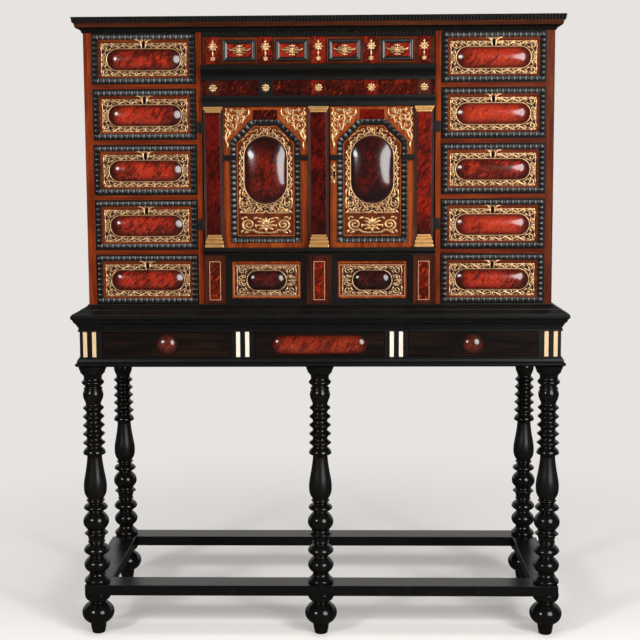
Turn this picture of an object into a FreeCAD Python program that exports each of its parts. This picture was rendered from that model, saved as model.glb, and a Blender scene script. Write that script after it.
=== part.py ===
"""A cabinet on a stand: a case of drawers round a pair of portico doors, on a table with five turned legs.

Millimetres, +Z up, front towards -Y, origin on the floor under the middle of the whole.
"""
import math
import os
import re

import FreeCAD, Part
from FreeCAD import Placement, Rotation, Vector

# Driving dimensions: alias, value, what it is
SIZES = [
    ("stand_margin", 22, "stand frieze beyond the case at each end"),
    ("stand_front_margin", 22, "stand frieze before the case front"),
    ("stand_overhang", 19, "stand cornice beyond the frieze"),
    ("foot_height", 109, "floor to underside of stretcher"),
    ("stretcher_thick", 27, "stretcher, top to bottom"),
    ("stretcher_wide", 68, "stretcher, across"),
    ("leg_length", 569, "stretcher to bottom board"),
    ("leg_inset", 25, "leg axis inside the frieze at the ends"),
    ("front_leg_inset", 27, "front leg axis behind the frieze face"),
    ("rear_leg_inset", 42, "rear leg axis before the back"),
    ("bottom_board_thick", 24, "bottom board of the stand"),
    ("frieze_height", 65, "stand drawer opening"),
    ("stand_rail_height", 42, "rail behind the stand cornice"),
    ("rim_height", 25, "sloped rim that holds the case"),
    ("rail_thick", 30, "stand rails and stiles"),
    ("stand_top_thick", 13, "top board of the stand"),
    ("apron_overhang", 11.5, "lower moulding beyond the frieze"),
    ("stile_wide", 60, "stand stile between two drawers"),
    ("end_stile_wide", 57, "stand stile at each end"),
    ("stand_middle_width", 327, "middle stand drawer opening"),
    ("bone_wide", 10, "bone strip"),
    ("bone_thick", 0.6, "bone strip, proud of the stile"),
    ("bone_gap", 13, "gap between the two strips of a pair"),
    ("end_bone_inset", 25, "middle of the outer pair from the end of the stand"),
    ("case_width", 1168, "case, side to side"),
    ("case_depth", 467, "case, front to back"),
    ("case_height", 677, "height of a drawer column"),
    ("side_thick", 20, "case sides"),
    ("partition_thick", 13.5, "case partitions"),
    ("column_share", 0.2226, "opening of a side drawer as a share of the case's width"),
    ("divider_thick", 11.5, "board between two side drawers"),
    ("back_thick", 12, "case back panel"),
    ("subtop_thick", 17, "board over the drawers"),
    ("top_thick", 20, "case top board"),
    ("floor_thick", 12, "case bottom board"),
    ("rim_clearance", 1, "case to rim"),
    ("cornice_overhang", 25, "case cornice beyond the case"),
    ("frieze_drawer_height", 80, "opening of the drawer over the doors"),
    ("shelf_thick", 14, "boards of the middle bay"),
    ("entablature_height", 102, "entablature over the doors"),
    ("entablature_overhang", 24, "entablature cornice before the case front"),
    ("entablature_frieze_proud", 4, "entablature frieze before the case front"),
    ("architrave_overhang", 12, "architrave before the case front"),
    ("plinth_height", 125, "opening of a drawer under the doors"),
    ("waist_height", 17, "ledge under the doors"),
    ("waist_overhang", 14, "ledge before the case front"),
    ("drawer_gap", 0.8, "drawer to its opening, each side and above"),
    ("drawer_seat_gap", 0.3, "drawer above the board that it slides on"),
    ("drawer_setback", 4, "drawer face behind the case front"),
    ("front_thick", 16, "drawer front"),
    ("lining_thick", 8, "drawer sides and back"),
    ("drawer_floor_thick", 6, "drawer bottom"),
    ("drawer_back_gap", 15, "drawer back to case back"),
    ("lining_drop", 14, "drawer sides below the top of the front"),
    ("ripple_wide", 15.5, "moulding round a drawer face"),
    ("ripple_outer", 5, "moulding height at its outer edge"),
    ("ripple_inner", 7, "moulding height at its inner edge"),
    ("cushion_end_margin", 39, "shell cushion to the end of its side drawer"),
    ("cushion_edge_margin", 38, "shell cushion to the top and foot of its side drawer"),
    ("cushion_high", 11, "shell cushion above the drawer face"),
    ("cushion_drop", 2, "side cushion below the middle of its drawer"),
    ("plinth_cushion_share", 0.477, "shell cushion of a drawer under the doors, share of its width"),
    ("plinth_cushion_rise", 0.384, "shell cushion of a drawer under the doors, share of its height"),
    ("plinth_frame_wide", 14, "moulding of a drawer under the doors"),
    ("pedestal_margin", 5.5, "middle pedestal beyond its pilaster, each side"),
    ("end_pedestal_margin", 3, "pedestal beside a partition, beyond its pilaster"),
    ("pedestal_deep", 40, "pedestal, front to back"),
    ("pedestal_proud", 3, "pedestal before the case front"),
    ("guide_height", 16, "drawer guides"),
    ("panel_gap", 50.5, "between two framed panels of the frieze drawer"),
    ("panel_edge_margin", 28, "framed panels: drawer opening less their height"),
    ("panel_frame_wide", 10, "bevel of a framed panel"),
    ("panel_frame_outer", 7, "bevel height at its outer edge"),
    ("panel_frame_inner", 3, "bevel height at its inner edge"),
    ("panel_end_margin", 29.5, "middle of the last strip to the end of the bay"),
    ("panel_drop", 5, "framed panels below the middle of the drawer opening"),
    ("head_strip_high", 10, "ripple strip along the top of the frieze drawer"),
    ("boss_drop", 2, "bosses below the middle of the stand drawers"),
    ("boss_margin", 7, "round boss to the top and foot of the stand drawer"),
    ("boss_high", 16, "round boss above the drawer face"),
    ("long_boss_end_margin", 43, "long boss to the end of the middle stand drawer"),
    ("long_boss_margin", 8.5, "long boss to the top and foot of its drawer"),
    ("long_boss_high", 12, "long boss above the drawer face"),
    ("lock_wide", 42, "lock behind a drawer front"),
    ("lock_high", 30, "lock behind a drawer front"),
    ("lock_thick", 8, "lock behind a drawer front"),
    ("door_thick", 20, "door leaf"),
    ("door_setback", 2, "door leaf behind the case front"),
    ("door_gap", 3.5, "door leaf to partition"),
    ("door_end_gap", 1, "door above the waist and below the architrave"),
    ("meeting_gap", 2.5, "middle pilaster to right door leaf"),
    ("pilaster_wide", 49, "outer pilaster"),
    ("middle_pilaster_wide", 52, "middle pilaster"),
    ("pilaster_proud", 8, "pilaster before the case front"),
    ("shaft_margin", 7.5, "shell strip to the edge of its pilaster"),
    ("shaft_proud", 1.5, "shell strip before its pilaster"),
    ("capital_high", 14, "pilaster capital"),
    ("base_high", 33, "pilaster base"),
    ("step_proud", 1.6, "each step of a capital or base before the last"),
    ("step_in", 2.2, "each step of a capital or base in from the last, each side"),
    ("arch_margin", 17.25, "arched moulding to the pilasters"),
    ("arch_corner_share", 0.6, "cut corner of the arch, share of half its width"),
    ("arch_sill", 13, "arched moulding above the door's foot"),
    ("arch_head_margin", 32, "arched moulding below the door's head"),
    ("arch_wide", 14.5, "arched moulding across"),
    ("arch_high", 7, "arched moulding above the door"),
    ("door_cushion_share", 0.726, "shell cushion of a door, share of the width inside its moulding"),
    ("door_cushion_high", 14, "shell cushion above the door"),
    ("door_cushion_low", 0.3134, "foot of the shell cushion, share of the door's height"),
    ("door_cushion_top", 0.792, "head of the shell cushion, share of the door's height"),
    ("hinge_height", 27, "door hinge"),
    ("knuckle_radius", 3, "hinge knuckle"),
    ("pin_radius", 1.2, "hinge pin"),
    ("pin_clearance", 0.05, "hinge pin in the door's knuckle, radial"),
    ("knuckle_gap", 0.2, "between two knuckles"),
    ("hinge_leaf_thick", 1.2, "hinge leaf"),
    ("hinge_leaf_wide", 9, "hinge leaf on the partition"),
    ("hinge_low", 45, "lower hinge above the door's foot"),
    ("hinge_high", 37, "upper hinge below the door's head"),
    ("neck_radius", 18.3, "leg at its necks"),
    ("ring_radius", 26.8, "leg rings"),
    ("ball_radius", 33, "leg balls"),
    ("vase_radius", 29.4, "leg vase at its widest"),
    ("capital_radius", 35.3, "leg at its top"),
    ("foot_radius", 41.8, "ball foot"),
    ("pad_radius", 20.4, "pad under the ball foot"),
]

DRAWERS_IN_COLUMN = 5
RING_COUNT = 6
CAPITAL_STEPS = 3
BASE_STEPS = 4
CUSHION_ROUND = 0.8     # share of a cushion's height that its edge is rounded by

doc = FreeCAD.newDocument("cabinet_on_stand")
sheet = doc.addObject("Spreadsheet::Sheet", "Sizes")
for row, (alias, value, note) in enumerate(SIZES, start=1):
    sheet.set(f"A{row}", note)
    sheet.set(f"B{row}", str(value))
    sheet.setAlias(f"B{row}", alias)
doc.recompute()
ALIASES = {alias for alias, value, note in SIZES}

# Levels and planes worked out from the driving dimensions, as expressions
LEVELS = {
    "stand_width": "case_width + 2 * stand_margin",
    "stand_depth": "case_depth + stand_front_margin",
    "stretcher_top": "foot_height + stretcher_thick",
    "leg_top": "stretcher_top + leg_length",
    "stand_floor": "leg_top + bottom_board_thick",
    "stand_head": "stand_floor + frieze_height",
    "rail_head": "stand_head + stand_rail_height",
    "case_foot": "rail_head + stand_top_thick",
    "case_floor": "case_foot + floor_thick",
    "case_head": "case_floor + case_height",
    "top_foot": "case_head + subtop_thick",
    "back_plane": "(stand_depth + stand_overhang) / 2",
    "stand_front": "back_plane - stand_depth",
    "case_front": "back_plane - case_depth",
    "inner_back": "back_plane - back_thick",
    "column_width": "case_width * column_share",
    "door_height": "case_height - frieze_drawer_height - entablature_height - waist_height - plinth_height",
    "inner_half": "case_width / 2 - side_thick",
    "bay_edge": "inner_half - column_width",
    "bay_half": "bay_edge - partition_thick",
    "leg_half": "stand_width / 2 - leg_inset",
    "leg_front": "stand_front + front_leg_inset",
    "leg_back": "back_plane - rear_leg_inset",
    "frieze_drawer_floor": "case_head - frieze_drawer_height",
    "architrave_foot": "frieze_drawer_floor - entablature_height",
    "waist_top": "architrave_foot - door_height",
    "waist_foot": "waist_top - waist_height",
    "face_plane": "case_front + drawer_setback",
    "door_plane": "case_front + door_setback",
    "door_back": "door_plane + door_thick",
    "door_edge": "bay_half - door_gap",
    "door_foot": "waist_top + door_end_gap",
    "door_head": "architrave_foot - door_end_gap",
    "pilaster_plane": "case_front - pilaster_proud",
    "hinge_axis_half": "bay_half + hinge_leaf_thick / 2",
    "hinge_axis_plane": "case_front - knuckle_radius - hinge_leaf_thick / 2",
    "right_leaf_edge": "middle_pilaster_wide / 2 + meeting_gap",
    "rim_inside": "rim_clearance - stand_margin",
    "pedestal_half": "middle_pilaster_wide / 2 + pedestal_margin",
    "end_pedestal_edge": "bay_half - door_gap - pilaster_wide - end_pedestal_margin",
    "panel_pitch": "(bay_half - panel_end_margin) / 2",
    "boss_wide": "frieze_height - 2 * boss_margin",
    "arch_half": "(door_edge - pilaster_wide - right_leaf_edge) / 2 - arch_margin",
    "arch_head": "door_head - door_foot - arch_head_margin",
}


def spelled(text):
    """An expression in sheet cells: levels are written out and each alias gets the sheet's name."""
    def cell(match):
        word = match.group(0)
        if word in LEVELS:
            return "(" + spelled(LEVELS[word]) + ")"
        return f"Sizes.{word}" if word in ALIASES else word
    return re.sub(r"[a-z_]+", cell, str(text))


def amount(text):
    """The value of such an expression, in millimetres."""
    return float(sheet.evalExpression(spelled(text)))


def bind(thing, **expressions):
    """Ties properties of an object to the sheet."""
    for name, text in expressions.items():
        thing.setExpression(name, spelled(text))


def put(thing, x, y, z, turn=None):
    """Ties an object's place to the sheet."""
    if turn:
        thing.Placement = Placement(Vector(), turn)
    for axis, text in zip("xyz", (x, y, z)):
        thing.setExpression(f"Placement.Base.{axis}", spelled(text))


nodes = []


def node(label, pieces):
    """A sub-part of one or several separate solids, written to its own file."""
    if len(pieces) == 1:
        whole = pieces[0]
    else:
        whole = doc.addObject("Part::Compound", label)
        whole.Links = pieces
    whole.Label = label
    nodes.append(whole)
    return whole


def board(name, x, y, z):
    """A flat board between two expressions each way."""
    box = doc.addObject("Part::Box", name)
    bind(box, Length=f"({x[1]}) - ({x[0]})", Width=f"({y[1]}) - ({y[0]})", Height=f"({z[1]}) - ({z[0]})")
    put(box, x[0], y[0], z[0])
    return box


def rod(name, x, y, z, radius, height, turn=None):
    """A round bar along Z, or along the way that turn sends Z."""
    bar = doc.addObject("Part::Cylinder", name)
    bind(bar, Radius=radius, Height=height)
    put(bar, x, y, z, turn)
    return bar


FORWARD = Rotation(Vector(1, 0, 0), 90)     # sends +Z to -Y, out of the front


def mitred_bars(name, x, z, plane, length, height, wide, outer, inner):
    """Four mitred lengths of moulding round a face. Before turning, Y runs inwards and Z out of the face."""
    bars = []
    places = [
        ("foot", x, f"({z}) - ({height}) / 2", length, 0),
        ("left", f"({x}) - ({length}) / 2", z, height, 90),
        ("head", x, f"({z}) + ({height}) / 2", length, 180),
        ("right", f"({x}) + ({length}) / 2", z, height, 270),
    ]
    for side, at_x, at_z, run, angle in places:
        bar = doc.addObject("Part::Wedge", f"{name}_{side}")
        bind(bar, Xmin=f"-({run}) / 2", Xmax=f"({run}) / 2", X2min=f"-({run}) / 2 + {wide}",
             X2max=f"({run}) / 2 - {wide}", Ymin="0", Ymax=wide)
        bind(bar, Zmin="0", Zmax=outer, Z2min="0", Z2max=inner)
        put(bar, at_x, plane, at_z, Rotation(Vector(0, 1, 0), angle) * FORWARD)
        bars.append(bar)
    return bars


def cushion(name, x, z, plane, wide, tall, high):
    """A raised cushion with round ends and a rounded edge, along the longer of its two ways."""
    upright = amount(tall) > amount(wide)
    length, across = (tall, wide) if upright else (wide, tall)
    radius = f"(({across}) / 2)"
    if amount(length) == amount(across):
        blank = rod(f"{name}_disc", x, plane, z, radius, high, FORWARD)
    else:
        middle = z if upright else x
        ends = [f"({middle}) - ({length}) / 2 + {radius}", f"({middle}) + ({length}) / 2 - {radius}"]
        span_x = (f"({x}) - {radius}", f"({x}) + {radius}") if upright else ends
        span_z = ends if upright else (f"({z}) - {radius}", f"({z}) + {radius}")
        pieces = [board(f"{name}_middle", span_x, (f"({plane}) - ({high})", plane), span_z)]
        for end in ends:
            at_x, at_z = (x, end) if upright else (end, z)
            pieces.append(rod(f"{name}_end_{len(pieces)}", at_x, plane, at_z, radius, high, FORWARD))
        blank = doc.addObject("Part::MultiFuse", f"{name}_blank")
        blank.Shapes = pieces
        blank.Refine = True
    doc.recompute()
    crown = amount(f"({plane}) - ({high})")
    edge_radius = amount(high) * CUSHION_ROUND
    rounded = doc.addObject("Part::Fillet", name)
    rounded.Base = blank
    rounded.Edges = [(number, edge_radius, edge_radius)
                     for number, edge in enumerate(blank.Shape.Edges, start=1)
                     if abs(edge.BoundBox.YMin - crown) < 0.01 and abs(edge.BoundBox.YMax - crown) < 0.01]
    return rounded


def draw(sketch, points):
    """Draws a closed outline. A point is (x, y), or (x, y, x, y) for an arc by way of its first pair."""
    previous = points[-1][-2:]
    for point in points:
        start = Vector(*previous, 0)
        finish = Vector(*point[-2:], 0)
        if len(point) == 2:
            sketch.addGeometry(Part.LineSegment(start, finish), False)
        else:
            sketch.addGeometry(Part.Arc(start, Vector(*point[:2], 0), finish), False)
        previous = point[-2:]


def moulding(name, outline, at, turn, run):
    """A straight length of moulding. Its outline is (out, up) from the face that it is planted on."""
    sketch = doc.addObject("Sketcher::SketchObject", f"{name}_outline")
    draw(sketch, [tuple(amount(value) for value in point) for point in outline])
    put(sketch, *at, Rotation(Vector(0, 0, 1), turn) * FORWARD)
    length = doc.addObject("Part::Extrusion", name)
    length.Base = sketch
    length.DirMode = "Normal"
    length.Solid = True
    bind(length, LengthFwd=run, LengthRev=run)
    return length


def three_sided(name, outline, half, front, reach):
    """Front and two side lengths of a moulding, mitred at the front. Reach is more than the outline's."""
    depth = f"(back_plane - ({front}))"
    middle = f"((back_plane + ({front})) / 2)"
    lengths = []
    for side, at, turn, run in [("front", ("0", front, "0"), -90, f"({half}) + ({reach})"),
                                ("left", (f"-({half})", middle, "0"), 180, f"{depth} / 2 + ({reach})"),
                                ("right", (half, middle, "0"), 0, f"{depth} / 2 + ({reach})")]:
        straight = moulding(f"{name}_{side}_run", outline, at, turn, run)
        plan = doc.addObject("Part::Wedge", f"{name}_{side}_plan")
        bind(plan, Ymin=f"-({reach})", Ymax=reach)
        bind(plan, Zmin="0", Z2min="0", Zmax="3 * case_height", Z2max="3 * case_height")
        if side == "front":
            bind(plan, Xmin=f"-({half}) - ({reach})", X2min=f"({reach}) - ({half})",
                 Xmax=f"({half}) + ({reach})", X2max=f"({half}) - ({reach})")
            put(plan, "0", front, "0")
        elif side == "right":
            bind(plan, Xmin=f"-({reach})", X2min=reach, Xmax=depth, X2max=depth)
            put(plan, half, front, "0", Rotation(Vector(0, 0, 1), 90))
        else:
            bind(plan, Xmin=f"-{depth}", X2min=f"-{depth}", Xmax=reach, X2max=f"-({reach})")
            put(plan, f"-({half})", front, "0", Rotation(Vector(0, 0, 1), -90))
        mitred = doc.addObject("Part::Common", f"{name}_{side}")
        mitred.Base = straight
        mitred.Tool = plan
        lengths.append(mitred)
    return lengths


def turned(label, outline, x, y, z):
    """A turned piece: an outline of (radius, height) spun about its own axis."""
    body = doc.addObject("PartDesign::Body", label)
    sketch = body.newObject("Sketcher::SketchObject", f"{label}_outline")
    plane = [feature for feature in body.Origin.OriginFeatures if feature.Role == "XZ_Plane"][0]
    sketch.AttachmentSupport = [(plane, "")]
    sketch.MapMode = "FlatFace"
    draw(sketch, outline)
    spin = body.newObject("PartDesign::Revolution", f"{label}_turning")
    spin.Profile = sketch
    spin.ReferenceAxis = (sketch, ["V_Axis"])
    spin.Angle = 360
    body.Tip = spin
    put(body, x, y, z)
    return body


def fused(name, pieces):
    """Several pieces made in one."""
    whole = doc.addObject("Part::MultiFuse", name)
    whole.Shapes = pieces
    return whole


def mirrored(sign, low, high):
    """A span on the right, or the same on the left, in order."""
    return (low, high) if sign > 0 else (f"-({high})", f"-({low})")


SIDES = [("left", -1), ("right", 1)]


def drawer(label, x, width, floor, height, plane, back, dressing):
    """A drawer in its opening: front, two sides, back, bottom and lock, then what dresses its face."""
    half = f"(({width}) / 2 - drawer_gap)"
    inner = f"({half} - lining_thick)"
    foot = f"(({floor}) + drawer_seat_gap)"
    head = f"(({floor}) + ({height}) - drawer_gap)"
    lining_head = f"({head} - lining_drop)"
    inside = f"(({plane}) + front_thick)"
    end = f"(({back}) - drawer_back_gap)"
    across = (f"({x}) - {half}", f"({x}) + {half}")
    between = (f"({x}) - {inner}", f"({x}) + {inner}")
    pieces = [
        board(f"{label}_front", across, (plane, inside), (foot, head)),
        board(f"{label}_left", (across[0], between[0]), (inside, end), (foot, lining_head)),
        board(f"{label}_right", (between[1], across[1]), (inside, end), (foot, lining_head)),
        board(f"{label}_back", between, (f"{end} - lining_thick", end), (foot, lining_head)),
        board(f"{label}_bottom", between, (inside, f"{end} - lining_thick"),
              (foot, f"{foot} + drawer_floor_thick")),
        board(f"{label}_lock", (f"({x}) - lock_wide / 2", f"({x}) + lock_wide / 2"),
              (inside, f"{inside} + lock_thick"), (f"{lining_head} - lock_high", lining_head)),
    ]
    return node(label, pieces + dressing)


# Feet and legs: outlines as (radius, height), arcs by way of their middle
neck = amount("neck_radius")
ring = amount("ring_radius")
ball = amount("ball_radius")
vase = amount("vase_radius")
crown = amount("capital_radius")
leg_outline = [
    (0, 0), (0.82 * ball, 0), (ball, 6, 0.62 * ball, 14), (0.60 * ball, 24),        # collar on the stretcher
    (ball, 46, 0.48 * ball, 68), (0.48 * ball, 74),                                 # lower ball
    (ball, 85, 0.60 * ball, 97), (0.68 * ball, 98), (0.65 * ball, 110, 0.69 * ball, 122),
    (0.91 * ball, 129, 0.63 * ball, 136), (0.63 * ball, 139),
    (ball, 161.5, 0.48 * ball, 184), (0.48 * ball, 189),                            # upper ball
    (0.93 * ball, 198, 0.52 * ball, 207), (0.52 * ball, 211),
    (0.78 * vase, 215.5, 0.66 * vase, 219.5),
    (0.94 * vase, 236, vase, 252),                                                  # vase
    (0.95 * vase, 265, 0.83 * vase, 283), (0.70 * vase, 304, neck, 327),
]
for count in range(RING_COUNT):                                                     # ringed shaft
    middle = 343 + 22.6 * count
    leg_outline += [(neck, middle - 8.5), (ring, middle, neck, middle + 8.5)]
leg_outline += [
    (0.87 * vase, 482, 0.86 * vase, 493), (0.82 * vase, 499, 0.68 * vase, 503),     # bulb and bead
    (0.75 * vase, 506.5, 0.66 * vase, 510), (0.69 * vase, 514, 0.78 * vase, 518),
    (0.95 * vase, 524.5, 0.78 * vase, 531), (0.78 * vase, 541),                     # neck ring
    (0.82 * crown, 543), (0.93 * crown, 552, crown, 561), (crown, 569), (0, 569),   # capital
]
stretch = amount("leg_length") / 569
leg_outline = [tuple(value * stretch if place % 2 else value for place, value in enumerate(point))
               for point in leg_outline]

foot = amount("foot_radius")
pad = amount("pad_radius")
foot_outline = [
    (0, 0), (0.75 * pad, 0), (pad, 8), (pad, 19), (foot, 47, 0.42 * foot, 76), (0.38 * foot, 78),
    (0.64 * foot, 87, 0.775 * foot, 102), (0.775 * foot, 109), (0, 109),
]
stretch = amount("foot_height") / 109
foot_outline = [tuple(value * stretch if place % 2 else value for place, value in enumerate(point))
                for point in foot_outline]

LEG_PLACES = [
    ("front_left", "-leg_half", "leg_front"), ("front_middle", "0", "leg_front"),
    ("front_right", "leg_half", "leg_front"), ("rear_left", "-leg_half", "leg_back"),
    ("rear_right", "leg_half", "leg_back"),
]
feet = []
for place, x, y in LEG_PLACES:
    node(f"{place}_leg", [turned(f"{place}_leg", leg_outline, x, y, "stretcher_top")])
    feet.append(turned(f"{place}_foot", foot_outline, x, y, "0"))
node("feet", feet)

# Stretchers: front and rear run through, the sides butt between them
flat = ("foot_height", "stretcher_top")
full = ("-leg_half - stretcher_wide / 2", "leg_half + stretcher_wide / 2")
half_wide = "stretcher_wide / 2"
for place in ("front", "back"):
    across = (f"leg_{place} - {half_wide}", f"leg_{place} + {half_wide}")
    label = "front_stretcher" if place == "front" else "rear_stretcher"
    node(label, [board(label, full, across, flat)])
between = (f"leg_front + {half_wide}", f"leg_back - {half_wide}")
side_pieces = []
for side, sign in SIDES:
    across = mirrored(sign, f"leg_half - {half_wide}", f"leg_half + {half_wide}")
    side_pieces.append(board(f"{side}_stretcher", across, between, flat))
node("side_stretchers", side_pieces)

# Stand: bottom board, front frame, rails, top board
stand_half = "stand_width / 2"
rail_half = "(stand_width / 2 - rail_thick)"
front_rail = ("stand_front", "stand_front + rail_thick")
opening = ("stand_floor", "stand_head")
node("stand_bottom_board", [board("stand_bottom_board", (f"-{stand_half}", stand_half),
                                  ("stand_front", "back_plane"), ("leg_top", "stand_floor"))])
stile = ("stand_middle_width / 2", "stand_middle_width / 2 + stile_wide")
end_stile = ("stand_width / 2 - end_stile_wide", rail_half)
frame_pieces = [board("stand_front_rail", (f"-{rail_half}", rail_half), front_rail,
                      ("stand_head", "rail_head"))]
guides = []
strips = []
for side, sign in SIDES:
    frame_pieces.append(board(f"{side}_stile", mirrored(sign, *stile), front_rail, opening))
    frame_pieces.append(board(f"{side}_end_stile", mirrored(sign, *end_stile), front_rail, opening))
    for place, span in [("inner", stile), ("outer", end_stile)]:
        guides.append(board(f"{side}_{place}_stand_guide", mirrored(sign, *span),
                            ("stand_front + rail_thick", "back_plane - rail_thick"),
                            ("stand_floor", "stand_floor + guide_height")))
    for place, centre in [("inner", "stand_middle_width / 2 + stile_wide / 2"),
                          ("outer", "stand_width / 2 - end_bone_inset")]:
        for pair, way in [("a", "-"), ("b", "+")]:
            middle = f"{centre} {way} (bone_gap + bone_wide) / 2"
            strips.append(board(f"{side}_{place}_bone_{pair}",
                                mirrored(sign, f"{middle} - bone_wide / 2", f"{middle} + bone_wide / 2"),
                                ("stand_front - bone_thick", "stand_front"), opening))
node("stand_front_frame", frame_pieces)
node("stand_drawer_guides", guides)
node("bone_strips", strips)
node("stand_side_rails", [board(f"{side}_stand_rail", mirrored(sign, rail_half, stand_half),
                                ("stand_front", "back_plane"), ("stand_floor", "rail_head"))
                          for side, sign in SIDES])
node("stand_back_rail", [board("stand_back_rail", (f"-{rail_half}", rail_half),
                               ("back_plane - rail_thick", "back_plane"), ("stand_floor", "rail_head"))])
node("stand_top_board", [board("stand_top_board", ("-case_width / 2", "case_width / 2"),
                               ("case_front", "back_plane"), ("rail_head", "case_foot"))])

# Stand mouldings
node("stand_apron_moulding", three_sided("stand_apron_moulding", [
    ("0", "leg_top"), ("0.6 * apron_overhang", "leg_top"), ("apron_overhang", "leg_top + 3"),
    ("apron_overhang", "leg_top + 8"),
    ("0.45 * apron_overhang", "leg_top + 15", "0.2 * apron_overhang", "stand_floor - 3"),
    ("0.2 * apron_overhang", "stand_floor"), ("0", "stand_floor")], stand_half, "stand_front", "30"))
node("stand_cornice", three_sided("stand_cornice", [
    ("0", "stand_head"), ("0.18 * stand_overhang", "stand_head"), ("0.18 * stand_overhang", "stand_head + 4"),
    ("0.35 * stand_overhang", "stand_head + 13", "0.72 * stand_overhang", "stand_head + 19"),
    ("0.72 * stand_overhang", "stand_head + 23"),
    ("0.925 * stand_overhang", "stand_head + 28.5", "stand_overhang", "rail_head - 7"),
    ("stand_overhang", "rail_head"), ("0", "rail_head")], stand_half, "stand_front", "30")
    + three_sided("stand_rim", [
        ("rim_inside", "rail_head"), ("stand_overhang", "rail_head"),
        ("0.9 * stand_overhang", "rail_head + 3"),
        ("-2", "rail_head + 0.5 * rim_height", "rim_inside + 3", "rail_head + rim_height - 3"),
        ("rim_inside + 3", "rail_head + rim_height"), ("rim_inside", "rail_head + rim_height")],
        stand_half, "stand_front", "30"))

# Case boards
case_half = "case_width / 2"
deep = ("case_front", "inner_back")
for side, sign in SIDES:
    node(f"case_{side}_side", [board(f"case_{side}_side", mirrored(sign, "inner_half", case_half),
                                     ("case_front", "back_plane"), ("case_foot", "top_foot"))])
    node(f"{side}_partition", [board(f"{side}_partition", mirrored(sign, "bay_half", "bay_edge"), deep,
                                     ("case_floor", "case_head"))])
inner = ("-inner_half", "inner_half")
node("case_bottom_board", [board("case_bottom_board", inner, deep, ("case_foot", "case_floor"))])
node("case_back_panel", [board("case_back_panel", inner, ("inner_back", "back_plane"),
                               ("case_foot", "top_foot"))])
node("case_top", [board("case_subtop", inner, deep, ("case_head", "top_foot")),
                  board("case_top_board", (f"-{case_half}", case_half), ("case_front", "back_plane"),
                        ("top_foot", "top_foot + top_thick"))])
node("case_cornice", three_sided("case_cornice", [
    ("0", "case_head"), ("0.1 * cornice_overhang", "case_head"),
    ("0.27 * cornice_overhang", "case_head + 4", "0.27 * cornice_overhang", "case_head + 10"),
    ("0.27 * cornice_overhang", "case_head + 12"), ("0.66 * cornice_overhang", "case_head + 12"),
    ("0.77 * cornice_overhang", "case_head + 23"), ("0.9 * cornice_overhang", "case_head + 24"),
    ("0.97 * cornice_overhang", "case_head + 30", "cornice_overhang", "top_foot + top_thick"),
    ("0", "top_foot + top_thick")], case_half, "case_front", "40"))

# Side drawers and the boards between them
drawer_height = f"((case_height - {DRAWERS_IN_COLUMN - 1} * divider_thick) / {DRAWERS_IN_COLUMN})"
dividers = []
for side, sign in SIDES:
    column = f"{sign} * (bay_edge + column_width / 2)"
    for number in range(1, DRAWERS_IN_COLUMN + 1):
        below = DRAWERS_IN_COLUMN - number
        floor = f"(case_floor + {below} * ({drawer_height} + divider_thick))"
        centre = f"({floor} + {drawer_height} / 2)"
        label = f"{side}_drawer_{number}"
        if below:
            span = mirrored(sign, "bay_edge", "inner_half")
            dividers.append(board(f"{side}_divider_{number}", span, deep,
                                  (f"{floor} - divider_thick", floor)))
        face = mitred_bars(f"{label}_ripple", column, f"({centre} + (drawer_seat_gap - drawer_gap) / 2)",
                           "face_plane", "column_width - 2 * drawer_gap",
                           f"({drawer_height} - drawer_gap - drawer_seat_gap)",
                           "ripple_wide", "ripple_outer", "ripple_inner")
        face.append(cushion(f"{label}_cushion", column, f"({centre} - cushion_drop)", "face_plane",
                            "column_width - 2 * cushion_end_margin",
                            f"({drawer_height} - 2 * cushion_edge_margin)", "cushion_high"))
        drawer(label, column, "column_width", floor, drawer_height, "face_plane", "inner_back", face)
node("drawer_dividers", dividers)

# Drawer over the doors, with four framed panels
panel_middle = "(frieze_drawer_floor + frieze_drawer_height / 2 - panel_drop)"
face = [board("frieze_drawer_strip", ("-bay_half + drawer_gap", "bay_half - drawer_gap"),
              ("face_plane - ripple_outer", "face_plane"),
              ("case_head - drawer_gap - head_strip_high", "case_head - drawer_gap"))]
for number in range(4):
    face += mitred_bars(f"framed_panel_{number + 1}", f"({number - 1.5} * panel_pitch)", panel_middle,
                        "face_plane", "panel_pitch - panel_gap", "frieze_drawer_height - panel_edge_margin",
                        "panel_frame_wide", "panel_frame_outer", "panel_frame_inner")
drawer("frieze_drawer", "0", "2 * bay_half", "frieze_drawer_floor", "frieze_drawer_height", "face_plane",
       "inner_back", face)

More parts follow.
